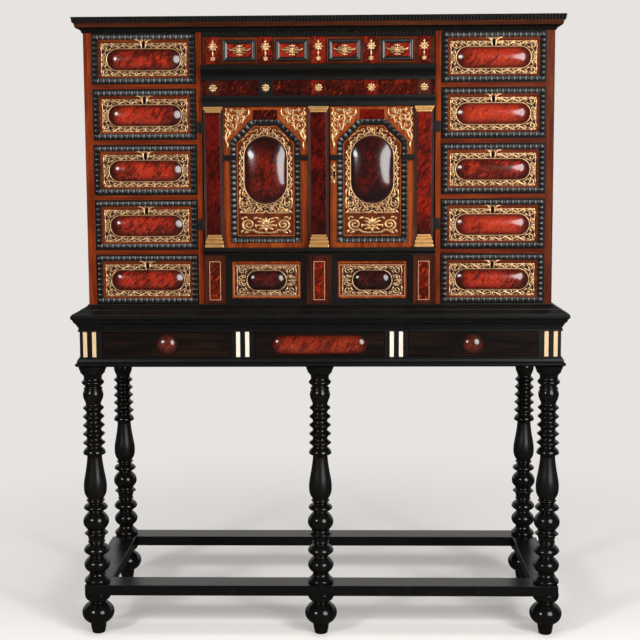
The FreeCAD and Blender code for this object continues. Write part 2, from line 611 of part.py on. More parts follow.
# Entablature on its backing board, the ledge under the doors, and the inner boards of the middle bay
bay = ("-bay_half", "bay_half")
node("entablature", [
    board("entablature_backing", bay, ("case_front", "case_front + shelf_thick"),
          ("architrave_foot", "frieze_drawer_floor")),
    board("entablature_frieze", bay, ("case_front - entablature_frieze_proud", "case_front"),
          ("architrave_foot + 0.25 * entablature_height", "architrave_foot + 0.63 * entablature_height")),
    moulding("architrave", [
        ("0", "architrave_foot"), ("0.58 * architrave_overhang", "architrave_foot"),
        ("0.58 * architrave_overhang", "architrave_foot + 0.11 * entablature_height"),
        ("0.75 * architrave_overhang", "architrave_foot + 0.11 * entablature_height"),
        ("architrave_overhang", "architrave_foot + 0.2 * entablature_height"),
        ("architrave_overhang", "architrave_foot + 0.25 * entablature_height"),
        ("0", "architrave_foot + 0.25 * entablature_height")],
        ("0", "case_front", "0"), -90, "bay_half"),
    moulding("entablature_cornice", [
        ("0", "architrave_foot + 0.63 * entablature_height"),
        ("0.33 * entablature_overhang", "architrave_foot + 0.63 * entablature_height"),
        ("0.42 * entablature_overhang", "architrave_foot + 0.75 * entablature_height",
         "0.7 * entablature_overhang", "architrave_foot + 0.82 * entablature_height"),
        ("0.92 * entablature_overhang", "architrave_foot + 0.88 * entablature_height"),
        ("entablature_overhang", "frieze_drawer_floor - 2"), ("0", "frieze_drawer_floor - 2")],
        ("0", "case_front", "0"), -90, "bay_half")])
node("waist_moulding", [moulding("waist_moulding", [
    ("0", "waist_foot"), ("0.43 * waist_overhang", "waist_foot"),
    ("0.43 * waist_overhang", "waist_foot + 0.2 * waist_height"),
    ("waist_overhang", "waist_foot + 0.55 * waist_height"), ("waist_overhang", "waist_top"),
    ("0", "waist_top")],
    ("0", "case_front", "0"), -90, "bay_half")])
behind = ("case_front + shelf_thick", "inner_back")
middle_pedestal = ("-pedestal_half", "pedestal_half")
end_pedestal = ("end_pedestal_edge", "bay_half")
pedestal_spans = [("left", mirrored(-1, *end_pedestal)), ("middle", middle_pedestal), ("right", end_pedestal)]
pedestal_depth = ("case_front - pedestal_proud", "case_front + pedestal_deep")
node("pedestals", [board(f"{place}_pedestal", span, pedestal_depth, ("case_floor", "waist_foot"))
                   for place, span in pedestal_spans])
node("middle_bay_boards", [
    board("frieze_drawer_shelf", bay, behind, ("frieze_drawer_floor - shelf_thick", "frieze_drawer_floor")),
    board("compartment_ceiling", bay, behind, ("architrave_foot", "architrave_foot + shelf_thick")),
    board("compartment_floor", bay, deep, ("waist_foot", "waist_top"))] + [
    board(f"{place}_plinth_guide", span, ("case_front + pedestal_deep", "inner_back"),
          ("case_floor", "case_floor + guide_height")) for place, span in pedestal_spans])

# Drawers under the doors
plinth_width = "(end_pedestal_edge - pedestal_half)"
for side, sign in SIDES:
    middle = f"{sign} * (pedestal_half + end_pedestal_edge) / 2"
    label = f"{side}_plinth_drawer"
    face = mitred_bars(f"{label}_frame", middle,
                       f"(case_floor + plinth_height / 2 + (drawer_seat_gap - drawer_gap) / 2)",
                       "face_plane",
                       f"({plinth_width} - 2 * drawer_gap)",
                       f"(plinth_height - drawer_gap - drawer_seat_gap)",
                       "plinth_frame_wide", "ripple_inner", "ripple_outer")
    face.append(cushion(f"{label}_cushion", middle, f"(case_floor + plinth_height / 2)", "face_plane",
                        f"{plinth_width} * plinth_cushion_share", "plinth_height * plinth_cushion_rise",
                        "cushion_high"))
    drawer(label, middle, plinth_width, "case_floor", "plinth_height", "face_plane", "inner_back", face)

# Stand drawers
stand_face = "(stand_front + drawer_setback / 2)"
stand_back = "(back_plane - rail_thick)"
end_width = "(stand_width / 2 - end_stile_wide - stile_wide - stand_middle_width / 2)"
boss_level = "(stand_floor + frieze_height / 2 - boss_drop)"
drawer("middle_stand_drawer", "0", "stand_middle_width", "stand_floor", "frieze_height", stand_face,
       stand_back,
       [cushion("long_boss", "0", boss_level, stand_face, "stand_middle_width - 2 * long_boss_end_margin",
                "frieze_height - 2 * long_boss_margin", "long_boss_high")])
for side, sign in SIDES:
    middle = f"{sign} * (stand_middle_width / 2 + stile_wide + {end_width} / 2)"
    drawer(f"{side}_stand_drawer", middle, end_width, "stand_floor", "frieze_height", stand_face,
           stand_back,
           [cushion(f"{side}_boss", middle, boss_level, stand_face, "boss_wide", "boss_wide", "boss_high")])

# Doors. The middle pilaster is part of the left one
upright = ("door_foot", "door_head")
leaf_deep = ("door_plane", "door_back")
node("left_door_leaf", [board("left_door_leaf", ("-door_edge", "middle_pilaster_wide / 2 - door_setback"),
                              leaf_deep, upright)])
node("right_door_leaf", [board("right_door_leaf", ("right_leaf_edge", "door_edge"), leaf_deep, upright)])


def pilaster(label, middle, wide):
    """A pilaster: a board and its shell strip between a stepped base and a stepped capital."""
    span = (f"({middle}) - ({wide}) / 2", f"({middle}) + ({wide}) / 2")
    shaft = ("door_foot + base_high", "door_head - capital_high")
    strip = (f"{span[0]} + shaft_margin", f"{span[1]} - shaft_margin")
    pieces = [board(f"{label}_board", span, ("pilaster_plane", "door_plane"), shaft),
              board(f"{label}_strip", strip, ("pilaster_plane - shaft_proud", "pilaster_plane"), shaft)]
    for step in range(CAPITAL_STEPS):
        below = CAPITAL_STEPS - 1 - step
        pieces.append(board(f"{label}_capital_{step + 1}",
                            (f"{span[0]} + {below} * step_in", f"{span[1]} - {below} * step_in"),
                            (f"pilaster_plane - {step + 1} * step_proud", "door_plane"),
                            (f"door_head - capital_high * {below + 1} / {CAPITAL_STEPS}",
                             f"door_head - capital_high * {below} / {CAPITAL_STEPS}")))
    for step in range(BASE_STEPS):
        pieces.append(board(f"{label}_base_{step + 1}",
                            (f"{span[0]} + {step} * step_in", f"{span[1]} - {step} * step_in"),
                            (f"pilaster_plane - {BASE_STEPS - step} * step_proud", "door_plane"),
                            (f"door_foot + base_high * {step} / {BASE_STEPS}",
                             f"door_foot + base_high * {step + 1} / {BASE_STEPS}")))
    return node(label, pieces)


pilaster("centre_pilaster", "0", "middle_pilaster_wide")


def arch_points(inset):
    """Corners of a door's arched moulding above the door's foot, its sides moved inwards by inset."""
    half = amount("arch_half")
    head = amount("arch_head")
    corner = half * amount("arch_corner_share")
    sill = amount("arch_sill")
    trim = inset * math.tan(math.pi / 8)
    right = [(half - inset, sill + inset), (half - inset, head - corner - trim),
             (half - corner - trim, head - inset)]
    return right + [(-x, z) for x, z in reversed(right)]


for side, sign in SIDES:
    pilaster(f"{side}_pilaster", f"{sign} * (door_edge - pilaster_wide / 2)", "pilaster_wide")
    middle = f"{sign} * (door_edge - pilaster_wide + right_leaf_edge) / 2"
    outline = doc.addObject("Sketcher::SketchObject", f"{side}_arch_outline")
    draw(outline, arch_points(0))
    draw(outline, arch_points(amount("arch_wide")))
    put(outline, middle, "door_plane", "door_foot", FORWARD)
    ring = doc.addObject("Part::Extrusion", f"{side}_door_moulding")
    ring.Base = outline
    ring.DirMode = "Normal"
    ring.Solid = True
    bind(ring, LengthFwd="arch_high")
    node(f"{side}_door_moulding", [ring])
    low = "(door_foot + (door_head - door_foot) * door_cushion_low)"
    high = "(door_foot + (door_head - door_foot) * door_cushion_top)"
    node(f"{side}_door_cushion", [cushion(
        f"{side}_door_cushion", middle, f"({low} + {high}) / 2", "door_plane",
        "2 * (arch_half - arch_wide) * door_cushion_share", f"({high} - {low})", "door_cushion_high")])

# Hinges: two knuckles and the pin on the case, the middle knuckle on the door
case_leaves = []
for side, sign in SIDES:
    axis = (f"{sign} * hinge_axis_half", "hinge_axis_plane")
    door_leaves = []
    for place, level in [("low", "(door_foot + hinge_low)"), ("high", "(door_head - hinge_high - hinge_height)")]:
        name = f"{side}_{place}_hinge"
        third = "(hinge_height / 3)"
        thirds = [(f"{level}", f"{level} + {third} - knuckle_gap"),
                  (f"{level} + 2 * {third} + knuckle_gap", f"{level} + hinge_height")]
        plate = mirrored(sign, "hinge_axis_half + knuckle_radius + 0.3",
                         "hinge_axis_half + knuckle_radius + 0.3 + hinge_leaf_wide")
        tab = mirrored(sign, "hinge_axis_half", "hinge_axis_half + knuckle_radius + 0.5")
        on_front = ("case_front - hinge_leaf_thick", "case_front")
        pieces = [board(f"{name}_case_plate", plate, on_front, (level, f"{level} + hinge_height")),
                  rod(f"{name}_pin", *axis, level, "pin_radius", "hinge_height")]
        for number, (low, high) in enumerate(thirds):
            pieces.append(rod(f"{name}_case_knuckle_{number}", *axis, low, "knuckle_radius",
                              f"{third} - knuckle_gap"))
            pieces.append(board(f"{name}_case_tab_{number}", tab, on_front, (low, high)))
        case_leaves.append(fused(f"{name}_case_half", pieces))
        middle = f"({level} + {third})"
        blank = fused(f"{name}_door_blank", [
            board(f"{name}_door_plate", mirrored(sign, "door_edge", "door_edge + 0.8 * hinge_leaf_thick"),
                  ("hinge_axis_plane", "door_back - 4"), (level, f"{level} + hinge_height")),
            board(f"{name}_door_tab",
                  mirrored(sign, "door_edge + 0.5 * hinge_leaf_thick", "hinge_axis_half - pin_radius"),
                  ("hinge_axis_plane - 1.5", "hinge_axis_plane + 1.5"), (middle, f"{middle} + {third}")),
            rod(f"{name}_door_knuckle", *axis, middle, "knuckle_radius", third)])
        bored = doc.addObject("Part::Cut", f"{name}_door_half")
        bored.Base = blank
        bored.Tool = rod(f"{name}_bore", *axis, f"{middle} - 1", "pin_radius + pin_clearance", f"{third} + 2")
        door_leaves.append(bored)
    node(f"{side}_door_hinge_leaves", door_leaves)
node("hinge_case_leaves", case_leaves)

doc.recompute()
for thing in doc.Objects:
    if {"Invalid", "Error"} & set(thing.State):
        raise RuntimeError(f"{thing.Name} did not recompute")
os.makedirs("parts", exist_ok=True)
for part in nodes:
    if part.Shape.isNull() or not part.Shape.isValid():
        raise RuntimeError(f"{part.Label} has no valid shape")
    part.Shape.exportStep(f"parts/{part.Label}.step")
print(len(nodes), "sub-parts,", sum(len(part.Shape.Solids) for part in nodes), "solids")
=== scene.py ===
# %% [markdown]
# # A tortoiseshell and ebony cabinet on its stand
# The real piece is a case of small drawers round two arched doors, on a stand with five turned
# legs. Its carcass, doors and drawers come from CAD as a frame that stays fixed. This lesson adds
# what a cabinet maker adds last: rippled ebony mouldings, pierced gilt mounts, crowned shell
# cushions, pale lines and the finish of every surface. The frame's own box is kept.

# %% Load the imported cabinet
import math

import bmesh
import bpy
from mathutils import Matrix, Vector


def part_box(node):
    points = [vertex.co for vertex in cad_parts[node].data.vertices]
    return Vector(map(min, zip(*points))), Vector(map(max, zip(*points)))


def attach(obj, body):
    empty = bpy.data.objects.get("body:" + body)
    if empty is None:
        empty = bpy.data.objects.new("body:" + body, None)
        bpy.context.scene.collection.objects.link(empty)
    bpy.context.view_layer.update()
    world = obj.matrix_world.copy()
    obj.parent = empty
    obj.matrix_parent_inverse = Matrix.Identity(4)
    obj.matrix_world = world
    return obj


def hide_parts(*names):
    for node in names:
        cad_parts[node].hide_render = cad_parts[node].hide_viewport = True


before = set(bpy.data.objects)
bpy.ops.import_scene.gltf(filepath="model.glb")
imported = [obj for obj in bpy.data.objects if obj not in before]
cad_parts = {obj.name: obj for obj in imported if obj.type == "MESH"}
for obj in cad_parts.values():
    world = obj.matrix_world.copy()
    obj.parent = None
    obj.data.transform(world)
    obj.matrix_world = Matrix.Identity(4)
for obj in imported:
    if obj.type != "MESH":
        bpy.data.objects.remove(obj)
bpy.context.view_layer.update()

MM = 0.001

# %% [markdown]
# ## Camera
# The picture was taken at the height of the doors, nearly straight on, with a short telephoto lens
# tipped six degrees down. A camera could be aimed by hand, but one that is set from its place, its
# three small turns and its lens gives the same frame each time.

# %% Set the camera
LENS_MM, SENSOR_MM, FRAME_SHIFT = 68.77, 36, -0.0397
TURNS = 1.258, 5.956, -0.285
eye = Vector((0.069, -3.283, 1.205))
yaw, dip, roll = (math.radians(turn) for turn in TURNS)
ahead = Vector((-math.sin(yaw) * math.cos(dip), math.cos(yaw) * math.cos(dip), -math.sin(dip)))
level = Vector((math.cos(yaw), math.sin(yaw), 0))
above = level.cross(ahead)
right = level * math.cos(roll) + above * math.sin(roll)
upward = above * math.cos(roll) - level * math.sin(roll)
bpy.ops.object.camera_add()
camera = bpy.context.object
stance = Matrix((right, upward, -ahead)).transposed().to_4x4()
stance.translation = eye
camera.matrix_world = stance
camera.data.lens, camera.data.sensor_width, camera.data.shift_y = LENS_MM, SENSOR_MM, FRAME_SHIFT
bpy.context.scene.camera = camera
print("camera at", tuple(round(v, 3) for v in eye))

# %% [markdown]
# ## Writing finishes as sums
# A finish is a net of shader nodes. Nets can be wired one node at a time, but a pattern is easier
# to read as arithmetic, so one small class stands for a node's output: sums on it add Math nodes,
# and its `node` method adds any other node. Colours are written as they look on a screen, from 0 to
# 255, and turned into the light values that the shader works with.

# %% A wire in a finish's net
class Wire:
    """One output in a finish's net of nodes."""

    def __init__(self, net, socket):
        self.net, self.socket = net, socket

    def node(self, kind, settings=(), sockets=(), output=0):
        made = self.net.nodes.new(kind)
        for name, value in dict(settings).items():
            if name == "stops":
                while len(made.color_ramp.elements) < len(value):
                    made.color_ramp.elements.new(1.0)
                for stop, (place, colour) in zip(made.color_ramp.elements, value):
                    stop.position, stop.color = place, colour
            else:
                setattr(made, name, value)
        for name, value in dict(sockets).items():
            feed(self.net, made.inputs[name], value)
        return Wire(self.net, made.outputs[output])

    def sum(self, operation, first, second):
        return self.node("ShaderNodeMath", {"operation": operation}, {0: first, 1: second})

    def __add__(self, other):
        return self.sum("ADD", self, other)

    def __sub__(self, other):
        return self.sum("SUBTRACT", self, other)

    def __rsub__(self, other):
        return self.sum("SUBTRACT", other, self)

    def __mul__(self, other):
        return self.sum("MULTIPLY", self, other)

    __radd__, __rmul__ = __add__, __mul__

    def __abs__(self):
        return self.sum("ABSOLUTE", self, 0)

    def part(self, axis):
        """The x, y or z of a place, for axis 0, 1 or 2."""
        return self.node("ShaderNodeSeparateXYZ", (), {0: self}, axis)

    def between(self, low, high):
        """0 below low, 1 above high, and a smooth rise between them."""
        return self.node("ShaderNodeMapRange", {"interpolation_type": "SMOOTHSTEP"},
                         {"Value": self, "From Min": low, "From Max": high})

    def mix(self, low, high):
        """A colour that goes from low to high as this wire goes from 0 to 1."""
        return self.node("ShaderNodeMix", {"data_type": "RGBA"}, {0: self, 6: low, 7: high}, 2)

    def stretched(self, scale, turn=(0, 0, 0)):
        return self.node("ShaderNodeMapping", (), {"Vector": self, "Scale": scale,
                                                   "Rotation": [math.radians(t) for t in turn]})

    def cloud(self, scale, detail=3.0, rough=0.55, warp=0.0):
        return self.node("ShaderNodeTexNoise", (),
                         {"Vector": self, "Scale": scale, "Detail": detail, "Roughness": rough,
                          "Distortion": warp})


def tone(red, green, blue):
    """A colour as it looks on a screen, 0 to 255, as light."""
    parts = [c / 255 for c in (red, green, blue)]
    return [c / 12.92 if c < 0.04045 else ((c + 0.055) / 1.055) ** 2.4 for c in parts] + [1.0]


def feed(net, socket, value):
    """Links a wire to the socket, or sets the socket to a plain value."""
    if isinstance(value, Wire):
        net.links.new(value.socket, socket)
    else:
        socket.default_value = value


# The frame brings materials of its own, so a finish is looked up here by the name it was given.
FINISHES = {}


def new_finish(name):
    """The surface shader of a new finish, and a wire of places on the piece in metres."""
    made = FINISHES[name] = bpy.data.materials.new(name)
    made.use_nodes = True
    net = made.node_tree
    places = net.nodes.new("ShaderNodeTexCoord").outputs["Object"]
    return net.nodes["Principled BSDF"], Wire(net, places)


def lay(surface, colour, rough, relief=None, depth=0.0001, **fixed):
    """Joins colour, roughness and relief to the surface and sets the rest of its sockets."""
    if relief is not None:
        fixed["Normal"] = relief.node("ShaderNodeBump", (),
                                      {"Height": relief, "Strength": 1.0, "Distance": depth})
    for name, value in {"Base_Color": colour, "Roughness": rough, **fixed}.items():
        feed(surface.id_data, surface.inputs[name.replace("_", " ")], value)


def mix_all(mixer, table):
    """Mixes every finish of a table from its name and the values for its mixer."""
    for name, values in table.items():
        mixer(name, *values)
    print("mixed:", ", ".join(table))


print("finish tools ready")

# %% [markdown]
# ## Rosewood, oak and ebonised wood
# Veneer shows long dark figure with fine pores along the grain. A painted picture of wood would
# not follow each board, so the figure is noise that is stretched along the board's own length.
# Each wood has the axis of its grain, a dark, a middle and a light tone, and its gloss: the veneers
# of the real piece have aged to different browns, and one darker rosewood also paints the shade on
# the case's right side. The ebonised wood is nearly black, with a trace of brown where the polish
# has worn thin.

# %% Mix the woods
GRAIN_STRETCH, STREAK = 0.055, 0.55
UPRIGHT, ACROSS, DEEP = 2, 0, 1


def wood(name, along, dark, middle, light, gloss, figure=46.0):
    """A polished wood in three tones whose grain runs along an axis."""
    surface, where = new_finish(name)
    dark, middle, light = tone(*dark), tone(*middle), tone(*light)
    squeeze = [1.0, 1.0, 1.0]
    squeeze[along] = GRAIN_STRETCH
    along_grain = where.stretched(squeeze)
    broad = along_grain.cloud(figure, 4.0, 0.6, 0.8)
    fine = along_grain.cloud(figure * 7, 3.0, 0.6)
    pores = along_grain.cloud(figure * 26, 2.0, 0.5)
    drift = where.cloud(5.0, 2.0)
    band = broad * STREAK + fine * (0.9 - STREAK) + drift * 0.25 - 0.08
    colour = band.node("ShaderNodeValToRGB",
                       {"stops": [(0.30, dark), (0.47, middle), (0.66, light)]}, {"Fac": band})
    pitted = pores.between(0.60, 0.70)
    colour = (pitted * 0.55).mix(colour, dark)
    rough = gloss + 0.12 * broad + 0.15 * pitted
    lay(surface, colour, rough, fine * 0.4 - pitted * 0.4, 0.00006, Specular_IOR_Level=0.06)


WOODS = {
    "rosewood_upright": (UPRIGHT, (34, 10, 3), (86, 28, 6), (126, 52, 15), 0.34),
    "rosewood_across": (ACROSS, (31, 9, 3), (77, 24, 5), (114, 46, 13), 0.34),
    "rosewood_field": (ACROSS, (30, 10, 4), (76, 27, 9), (108, 48, 19), 0.34),
    "rosewood_door": (UPRIGHT, (48, 16, 5), (112, 45, 15), (154, 76, 30), 0.32),
    "rosewood_deep": (UPRIGHT, (22, 9, 6), (50, 20, 11), (76, 34, 19), 0.3),
    "rosewood_aged": (UPRIGHT, (24, 14, 12), (46, 28, 25), (68, 45, 42), 0.3),
    # A darker rosewood: the door veneer's own tone, and painted shade on the right side of the
    # case.
    "rosewood_shade": (UPRIGHT, (28, 9, 4), (66, 24, 9), (96, 44, 19), 0.34),
    "rosewood_line": (UPRIGHT, (96, 44, 18), (144, 74, 34), (172, 98, 52), 0.4),
    "rosewood_band": (ACROSS, (24, 9, 4), (50, 21, 9), (72, 33, 16), 0.3),
    "oak_front_to_back": (DEEP, (96, 66, 38), (138, 100, 62), (168, 130, 88), 0.5),
    "oak_upright": (UPRIGHT, (74, 50, 30), (112, 80, 50), (140, 106, 72), 0.55, 30.0),
    "ebony_streaked": (ACROSS, (10, 8, 7), (14, 11, 9), (38, 20, 13), 0.3, 60.0),
}
mix_all(wood, WOODS)


FADE = 0.012


def ebonised(name, gloss, shine, dull=None):
    """Black polished wood with faint brown wear and a fine grain; dull gives two heights in mm
    between which the polish is rubbed."""
    surface, where = new_finish(name)
    wear = where.cloud(38.0, 5.0, 0.65).between(0.52, 0.74)
    grain = where.stretched((1, 1, 0.2)).cloud(420.0, 2.0)
    smear = where.cloud(16.0, 3.0, 0.6)
    colour = wear.mix(tone(10, 10, 9), tone(19, 17, 15))
    rough = gloss + 0.14 * smear + 0.05 * grain
    if dull:
        height = where.part(2)
        low, high = (place * MM for place in dull)
        rubbed = height.between(low - FADE, low) - height.between(high, high + FADE)
        rough = rough + 0.2 * rubbed
    lay(surface, colour, rough, grain, 0.00004, Specular_IOR_Level=shine)


VASE_HEIGHTS = (368, 462)
EBONIES = {
    "ebony_polished": (0.05, 0.36, VASE_HEIGHTS),
    "ebony_satin": (0.3, 0.25),
    "ebony_flat": (0.16, 0.3),
    "ebony_rippled": (0.27, 0.9),
    "ebony_drawer_frame": (0.27, 0.72),
    "ebony_cornice": (0.34, 0.12),
}
mix_all(ebonised, EBONIES)

# %% [markdown]
# ## Red shell, gilt brass, bone and iron
# The shell is thin, clear and laid over red foil, so it is red where it is clear and brown-black
# in drifting clouds, under a deep polish. Two clouds of noise that lean to one side give that
# mottling, and the polish is the shader's coat. The gilt mounts are brass with darker metal where a
# hand does not reach, bone is cream with fine lines, and iron is black and dull.

# %% Mix the shell
SHELL_LEAN = (0, -35, 0)


def shell(name, glow, red, cloud, cover, crown=None, ends=None, shade=None):
    """Polished shell over foil: glow and red drift over each other and brown clouds cover a share.
    A cushion gets a painted shade from its crown to its rim, given as their depths, and at its
    round ends, given as its middle and where the shade starts and stops. shade gives the heights
    between which a painted shade darkens the colour. All are in mm."""
    surface, where = new_finish(name)
    glow, red, cloud = tone(*glow), tone(*red), tone(*cloud)
    leaning = where.stretched((1, 1, 1), SHELL_LEAN).stretched((1, 1, 0.3))
    drift = leaning.cloud(130.0, 5.0, 0.66, 0.8)
    flecks = leaning.cloud(380.0, 3.0, 0.6, 0.5)
    broad = where.cloud(20.0, 3.0)
    colour = (0.6 * flecks + 0.4 * drift).between(0.42, 0.60).mix(red, glow)
    dark = (drift + 0.3 * flecks + 0.55 * broad - 0.42).between(0.60 - cover, 0.76 - cover)
    colour = (dark * 0.88).mix(colour, cloud)
    sparks = leaning.cloud(210.0, 2.0, 0.5, 0.4).between(0.62, 0.70)
    colour = (sparks * 0.55).mix(colour, glow)
    # Painted shade: the cushion darkens from its crown towards its rim.
    if crown:
        depth = where.part(1)
        colour = (depth.between(crown[0] * MM, crown[1] * MM) * 0.75).mix(colour, cloud)
    # Painted shade: the cushion darkens towards its round ends.
    if ends:
        middle, start, stop = (place * MM for place in ends)
        off = abs(abs(where.part(0)) - middle)
        colour = (off.between(start, stop) * 0.8).mix(colour, cloud)
    # Painted shade: the colour darkens between two heights.
    if shade:
        height = where.part(2)
        colour = (height.between(shade[0] * MM, shade[1] * MM) * 0.6).mix(colour, cloud)
    gloss = 0.16 if crown else 0.07
    lay(surface, colour, gloss + 0.06 * flecks, drift, 0.00004, Coat_Weight=0.45,
        Coat_Roughness=0.03, IOR=1.5)


# Depths of the painted shade at the cushions' rims, and the middles and spans of the painted shade
# at their ends, in mm.
SIDE_CROWN, DOOR_CROWN, BOSS_CROWN = (-219.8, -211.0), (-224.5, -212.5), (-246, -234.5)
SIDE_ENDS, PLINTH_ENDS, BOSS_ENDS = (434, 54, 84), (133.25, 20, 46), (0, 88, 116)
# After a cushion's depths and ends, an entry's last pair gives the heights of its painted shade.
SHELLS = {
    "shell_red": ((150, 42, 21), (112, 18, 8), (38, 9, 5), 0.13),
    "shell_cushion_left":
        ((166, 52, 27), (122, 22, 9), (38, 9, 5), 0.17, SIDE_CROWN, SIDE_ENDS),
    "shell_cushion_right":
        ((162, 52, 25), (124, 25, 10), (54, 11, 6), 0.10, SIDE_CROWN, SIDE_ENDS),
    "shell_deep": ((104, 17, 9), (70, 9, 5), (26, 6, 5), 0.15),
    "shell_pilaster": ((98, 18, 9), (60, 8, 5), (19, 6, 5), 0.15, None, None, (1180, 1040)),
    "shell_upright": ((140, 38, 19), (98, 17, 8), (30, 8, 5), 0.18),
    "shell_pedestal": ((190, 60, 20), (104, 20, 8), (15, 6, 5), 0.27),
    "shell_pilaster_right":
        ((134, 34, 16), (80, 12, 7), (27, 9, 9), 0.15, None, None, (1130, 1030)),
    "shell_black": ((150, 38, 18), (28, 9, 6), (11, 6, 5), 0.30),
    "shell_glow": ((172, 50, 20), (66, 13, 7), (16, 6, 5), 0.30),
    "shell_cushion_plinth":
        ((102, 27, 15), (40, 12, 8), (15, 7, 7), 0.21, SIDE_CROWN, PLINTH_ENDS),
    "shell_cushion_door":
        ((124, 29, 12), (68, 10, 5), (19, 6, 5), 0.17, DOOR_CROWN, None, (1185, 1275)),
    "shell_cushion_door_right":
        ((106, 23, 14), (50, 9, 7), (17, 7, 7), 0.20, DOOR_CROWN, None, (1180, 1120)),
    "shell_boss_long": ((154, 54, 27), (108, 24, 10), (44, 11, 5), 0.15, BOSS_CROWN, BOSS_ENDS),
    "shell_boss_round":
        ((120, 42, 22), (72, 24, 15), (34, 16, 11), 0.15, BOSS_CROWN, None, (764, 740)),
}
mix_all(shell, SHELLS)

# %% Mix the gilt, bone and iron
def gilded(name, bright, hollow, gloss, fine, grain):
    """Gilt brass, darker in hollows of a given fineness and dulled in patches."""
    surface, where = new_finish(name)
    bright, hollow = tone(*bright), tone(*hollow)
    hollows = where.cloud(fine, 3.0, 0.6).between(0.46, 0.70)
    tarnish = where.cloud(30.0, 4.0, 0.6).between(0.5, 0.75)
    chasing = where.cloud(4 * fine, 2.0)
    colour = (hollows * 0.55).mix(bright, hollow)
    colour = (tarnish * 0.4).mix(colour, hollow)
    lay(surface, colour, gloss + 0.14 * hollows, chasing - hollows, grain, Metallic=0.9)


def mottled(name, noise, turn, first, second, gloss, depth, **fixed):
    """Two tones in a pattern of noise: turn is where it goes from the first to the second, and the
    two numbers of gloss are its least roughness and what the pattern adds."""
    surface, where = new_finish(name)
    pattern = where.cloud(*noise)
    colour = pattern.between(*turn).mix(tone(*first), tone(*second))
    lay(surface, colour, gloss[0] + gloss[1] * pattern, pattern, depth, **fixed)


GILTS = {
    "gilt_chased": ((240, 198, 146), (146, 92, 50), 0.34, 240.0, 0.0001),
    "gilt_door": ((238, 192, 138), (146, 90, 50), 0.36, 240.0, 0.0001),
    "gilt_plain": ((240, 190, 120), (182, 124, 60), 0.38, 55.0, 0.00002),
}
mix_all(gilded, GILTS)
mottled("stringing", (300.0, 3.0), (0.4, 0.7), (184, 130, 98), (144, 94, 66), (0.4, 0.1), 0.00005)
mottled("black_iron", (260.0, 4.0, 0.7), (0.45, 0.7), (18, 17, 17), (44, 38, 35), (0.38, 0.3),
        0.0002, Metallic=0.6)
# The dark ground under pierced gilt: partly the wood beneath the mount, partly painted shade in the
# piercings.
mottled("fret_ground_and_shade", (160.0, 3.0, 0.6), (0.4, 0.7), (26, 11, 6), (70, 31, 15), (0.55, 0.2),
        0.0001, Specular_IOR_Level=0.2)

# The keyholes are black shapes that paint the shade inside the holes, with a speckle of dust.
surface, where = new_finish("keyhole_black")
dust = where.cloud(500.0, 2.0)
lay(surface, dust.mix(tone(4, 3, 3), tone(12, 9, 8)), 0.75 + 0.2 * dust, Specular_IOR_Level=0.1)

OUTER_PAIR = 0.40, 0.45
surface, where = new_finish("bone")
lines = where.stretched((1, 1, 0.05)).cloud(700.0, 3.0)
colour = lines.between(0.45, 0.7).mix(tone(206, 198, 185), tone(188, 178, 159))
age = where.cloud(26.0, 3.0).between(0.5, 0.8)
colour = (age * 0.4).mix(colour, tone(196, 172, 132))
outer_pair = abs(where.part(0)).between(*OUTER_PAIR)
colour = (outer_pair * 0.75).mix(colour, tone(184, 148, 100))
lay(surface, colour, 0.32 + 0.1 * lines, lines, 0.00005)
print("iron, stringing, ground and bone mixed")

# %% [markdown]
# ## Finishes on the CAD nodes that stay
# Boards, rails and plain mouldings have their right shape in the CAD model, so they stay and only
# get a finish. The grain of each board follows the way it would have been cut.

# %% Finish the carried-over nodes
KEPT_FINISHES = {
    "ebony_satin": ["stand_bottom_board", "stand_front_frame", "stand_side_rails",
                    "stand_back_rail", "entablature", "waist_moulding"],
    "rosewood_upright": ["case_left_side", "left_partition", "right_partition"],
    # Painted shade: the right side gets a darker rosewood than the left.
    "rosewood_shade": ["case_right_side"],
    "rosewood_door": ["left_door_leaf", "right_door_leaf"],
    "rosewood_across": ["drawer_dividers"],
    "rosewood_deep": ["pedestals"],
    "oak_front_to_back": ["case_bottom_board", "case_top", "middle_bay_boards", "stand_top_board",
                          "stand_drawer_guides"],
    "oak_upright": ["case_back_panel"],
    "bone": ["bone_strips"],
    "black_iron": ["hinge_case_leaves", "left_door_hinge_leaves", "right_door_hinge_leaves"],
}
for finish, names in KEPT_FINISHES.items():
    for name in names:
        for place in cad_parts[name].material_slots:
            place.material = FINISHES[finish]
print("kept nodes finished:", sum(len(names) for names in KEPT_FINISHES.values()))

# %% [markdown]
# ## Bench tools
# Modelling by hand is a round of three moves: add a primitive, pick some of its faces, edges or
# corners, and use an operator on them. Three helpers do that here. `only` selects one piece,
# `pick` opens it and selects what passes a test on place and direction, in millimetres, and
# `tidy` welds it, turns its faces outwards and smooths it. Every piece is left at the origin with
# its place in its mesh, as the CAD nodes are.

# %% Select, pick and tidy
def only(*pieces):
    """Selects these pieces alone, the first of them active."""
    bpy.ops.object.select_all(action="DESELECT")
    for piece in pieces:
        piece.select_set(True)
    bpy.context.view_layer.objects.active = pieces[0]


def pick(piece, kind, test=lambda spot, way: True):
    """Opens the piece with the faces, edges or verts selected that pass the test, or with all."""
    only(piece)
    bpy.ops.object.mode_set(mode="EDIT")
    bpy.ops.mesh.select_mode(type=kind)
    bpy.ops.mesh.select_all(action="DESELECT")
    mesh = bmesh.from_edit_mesh(piece.data)
    if kind == "FACE":
        found = [f for f in mesh.faces if test(f.calc_center_median() / MM, f.normal)]
    elif kind == "EDGE":
        found = [e for e in mesh.edges
                 if test((e.verts[0].co + e.verts[1].co) / 2 / MM, e.verts[1].co - e.verts[0].co)]
    else:
        found = [v for v in mesh.verts if test(v.co / MM, v.normal)]
    for part in found:
        part.select_set(True)
    mesh.select_flush_mode()
    bmesh.update_edit_mesh(piece.data)


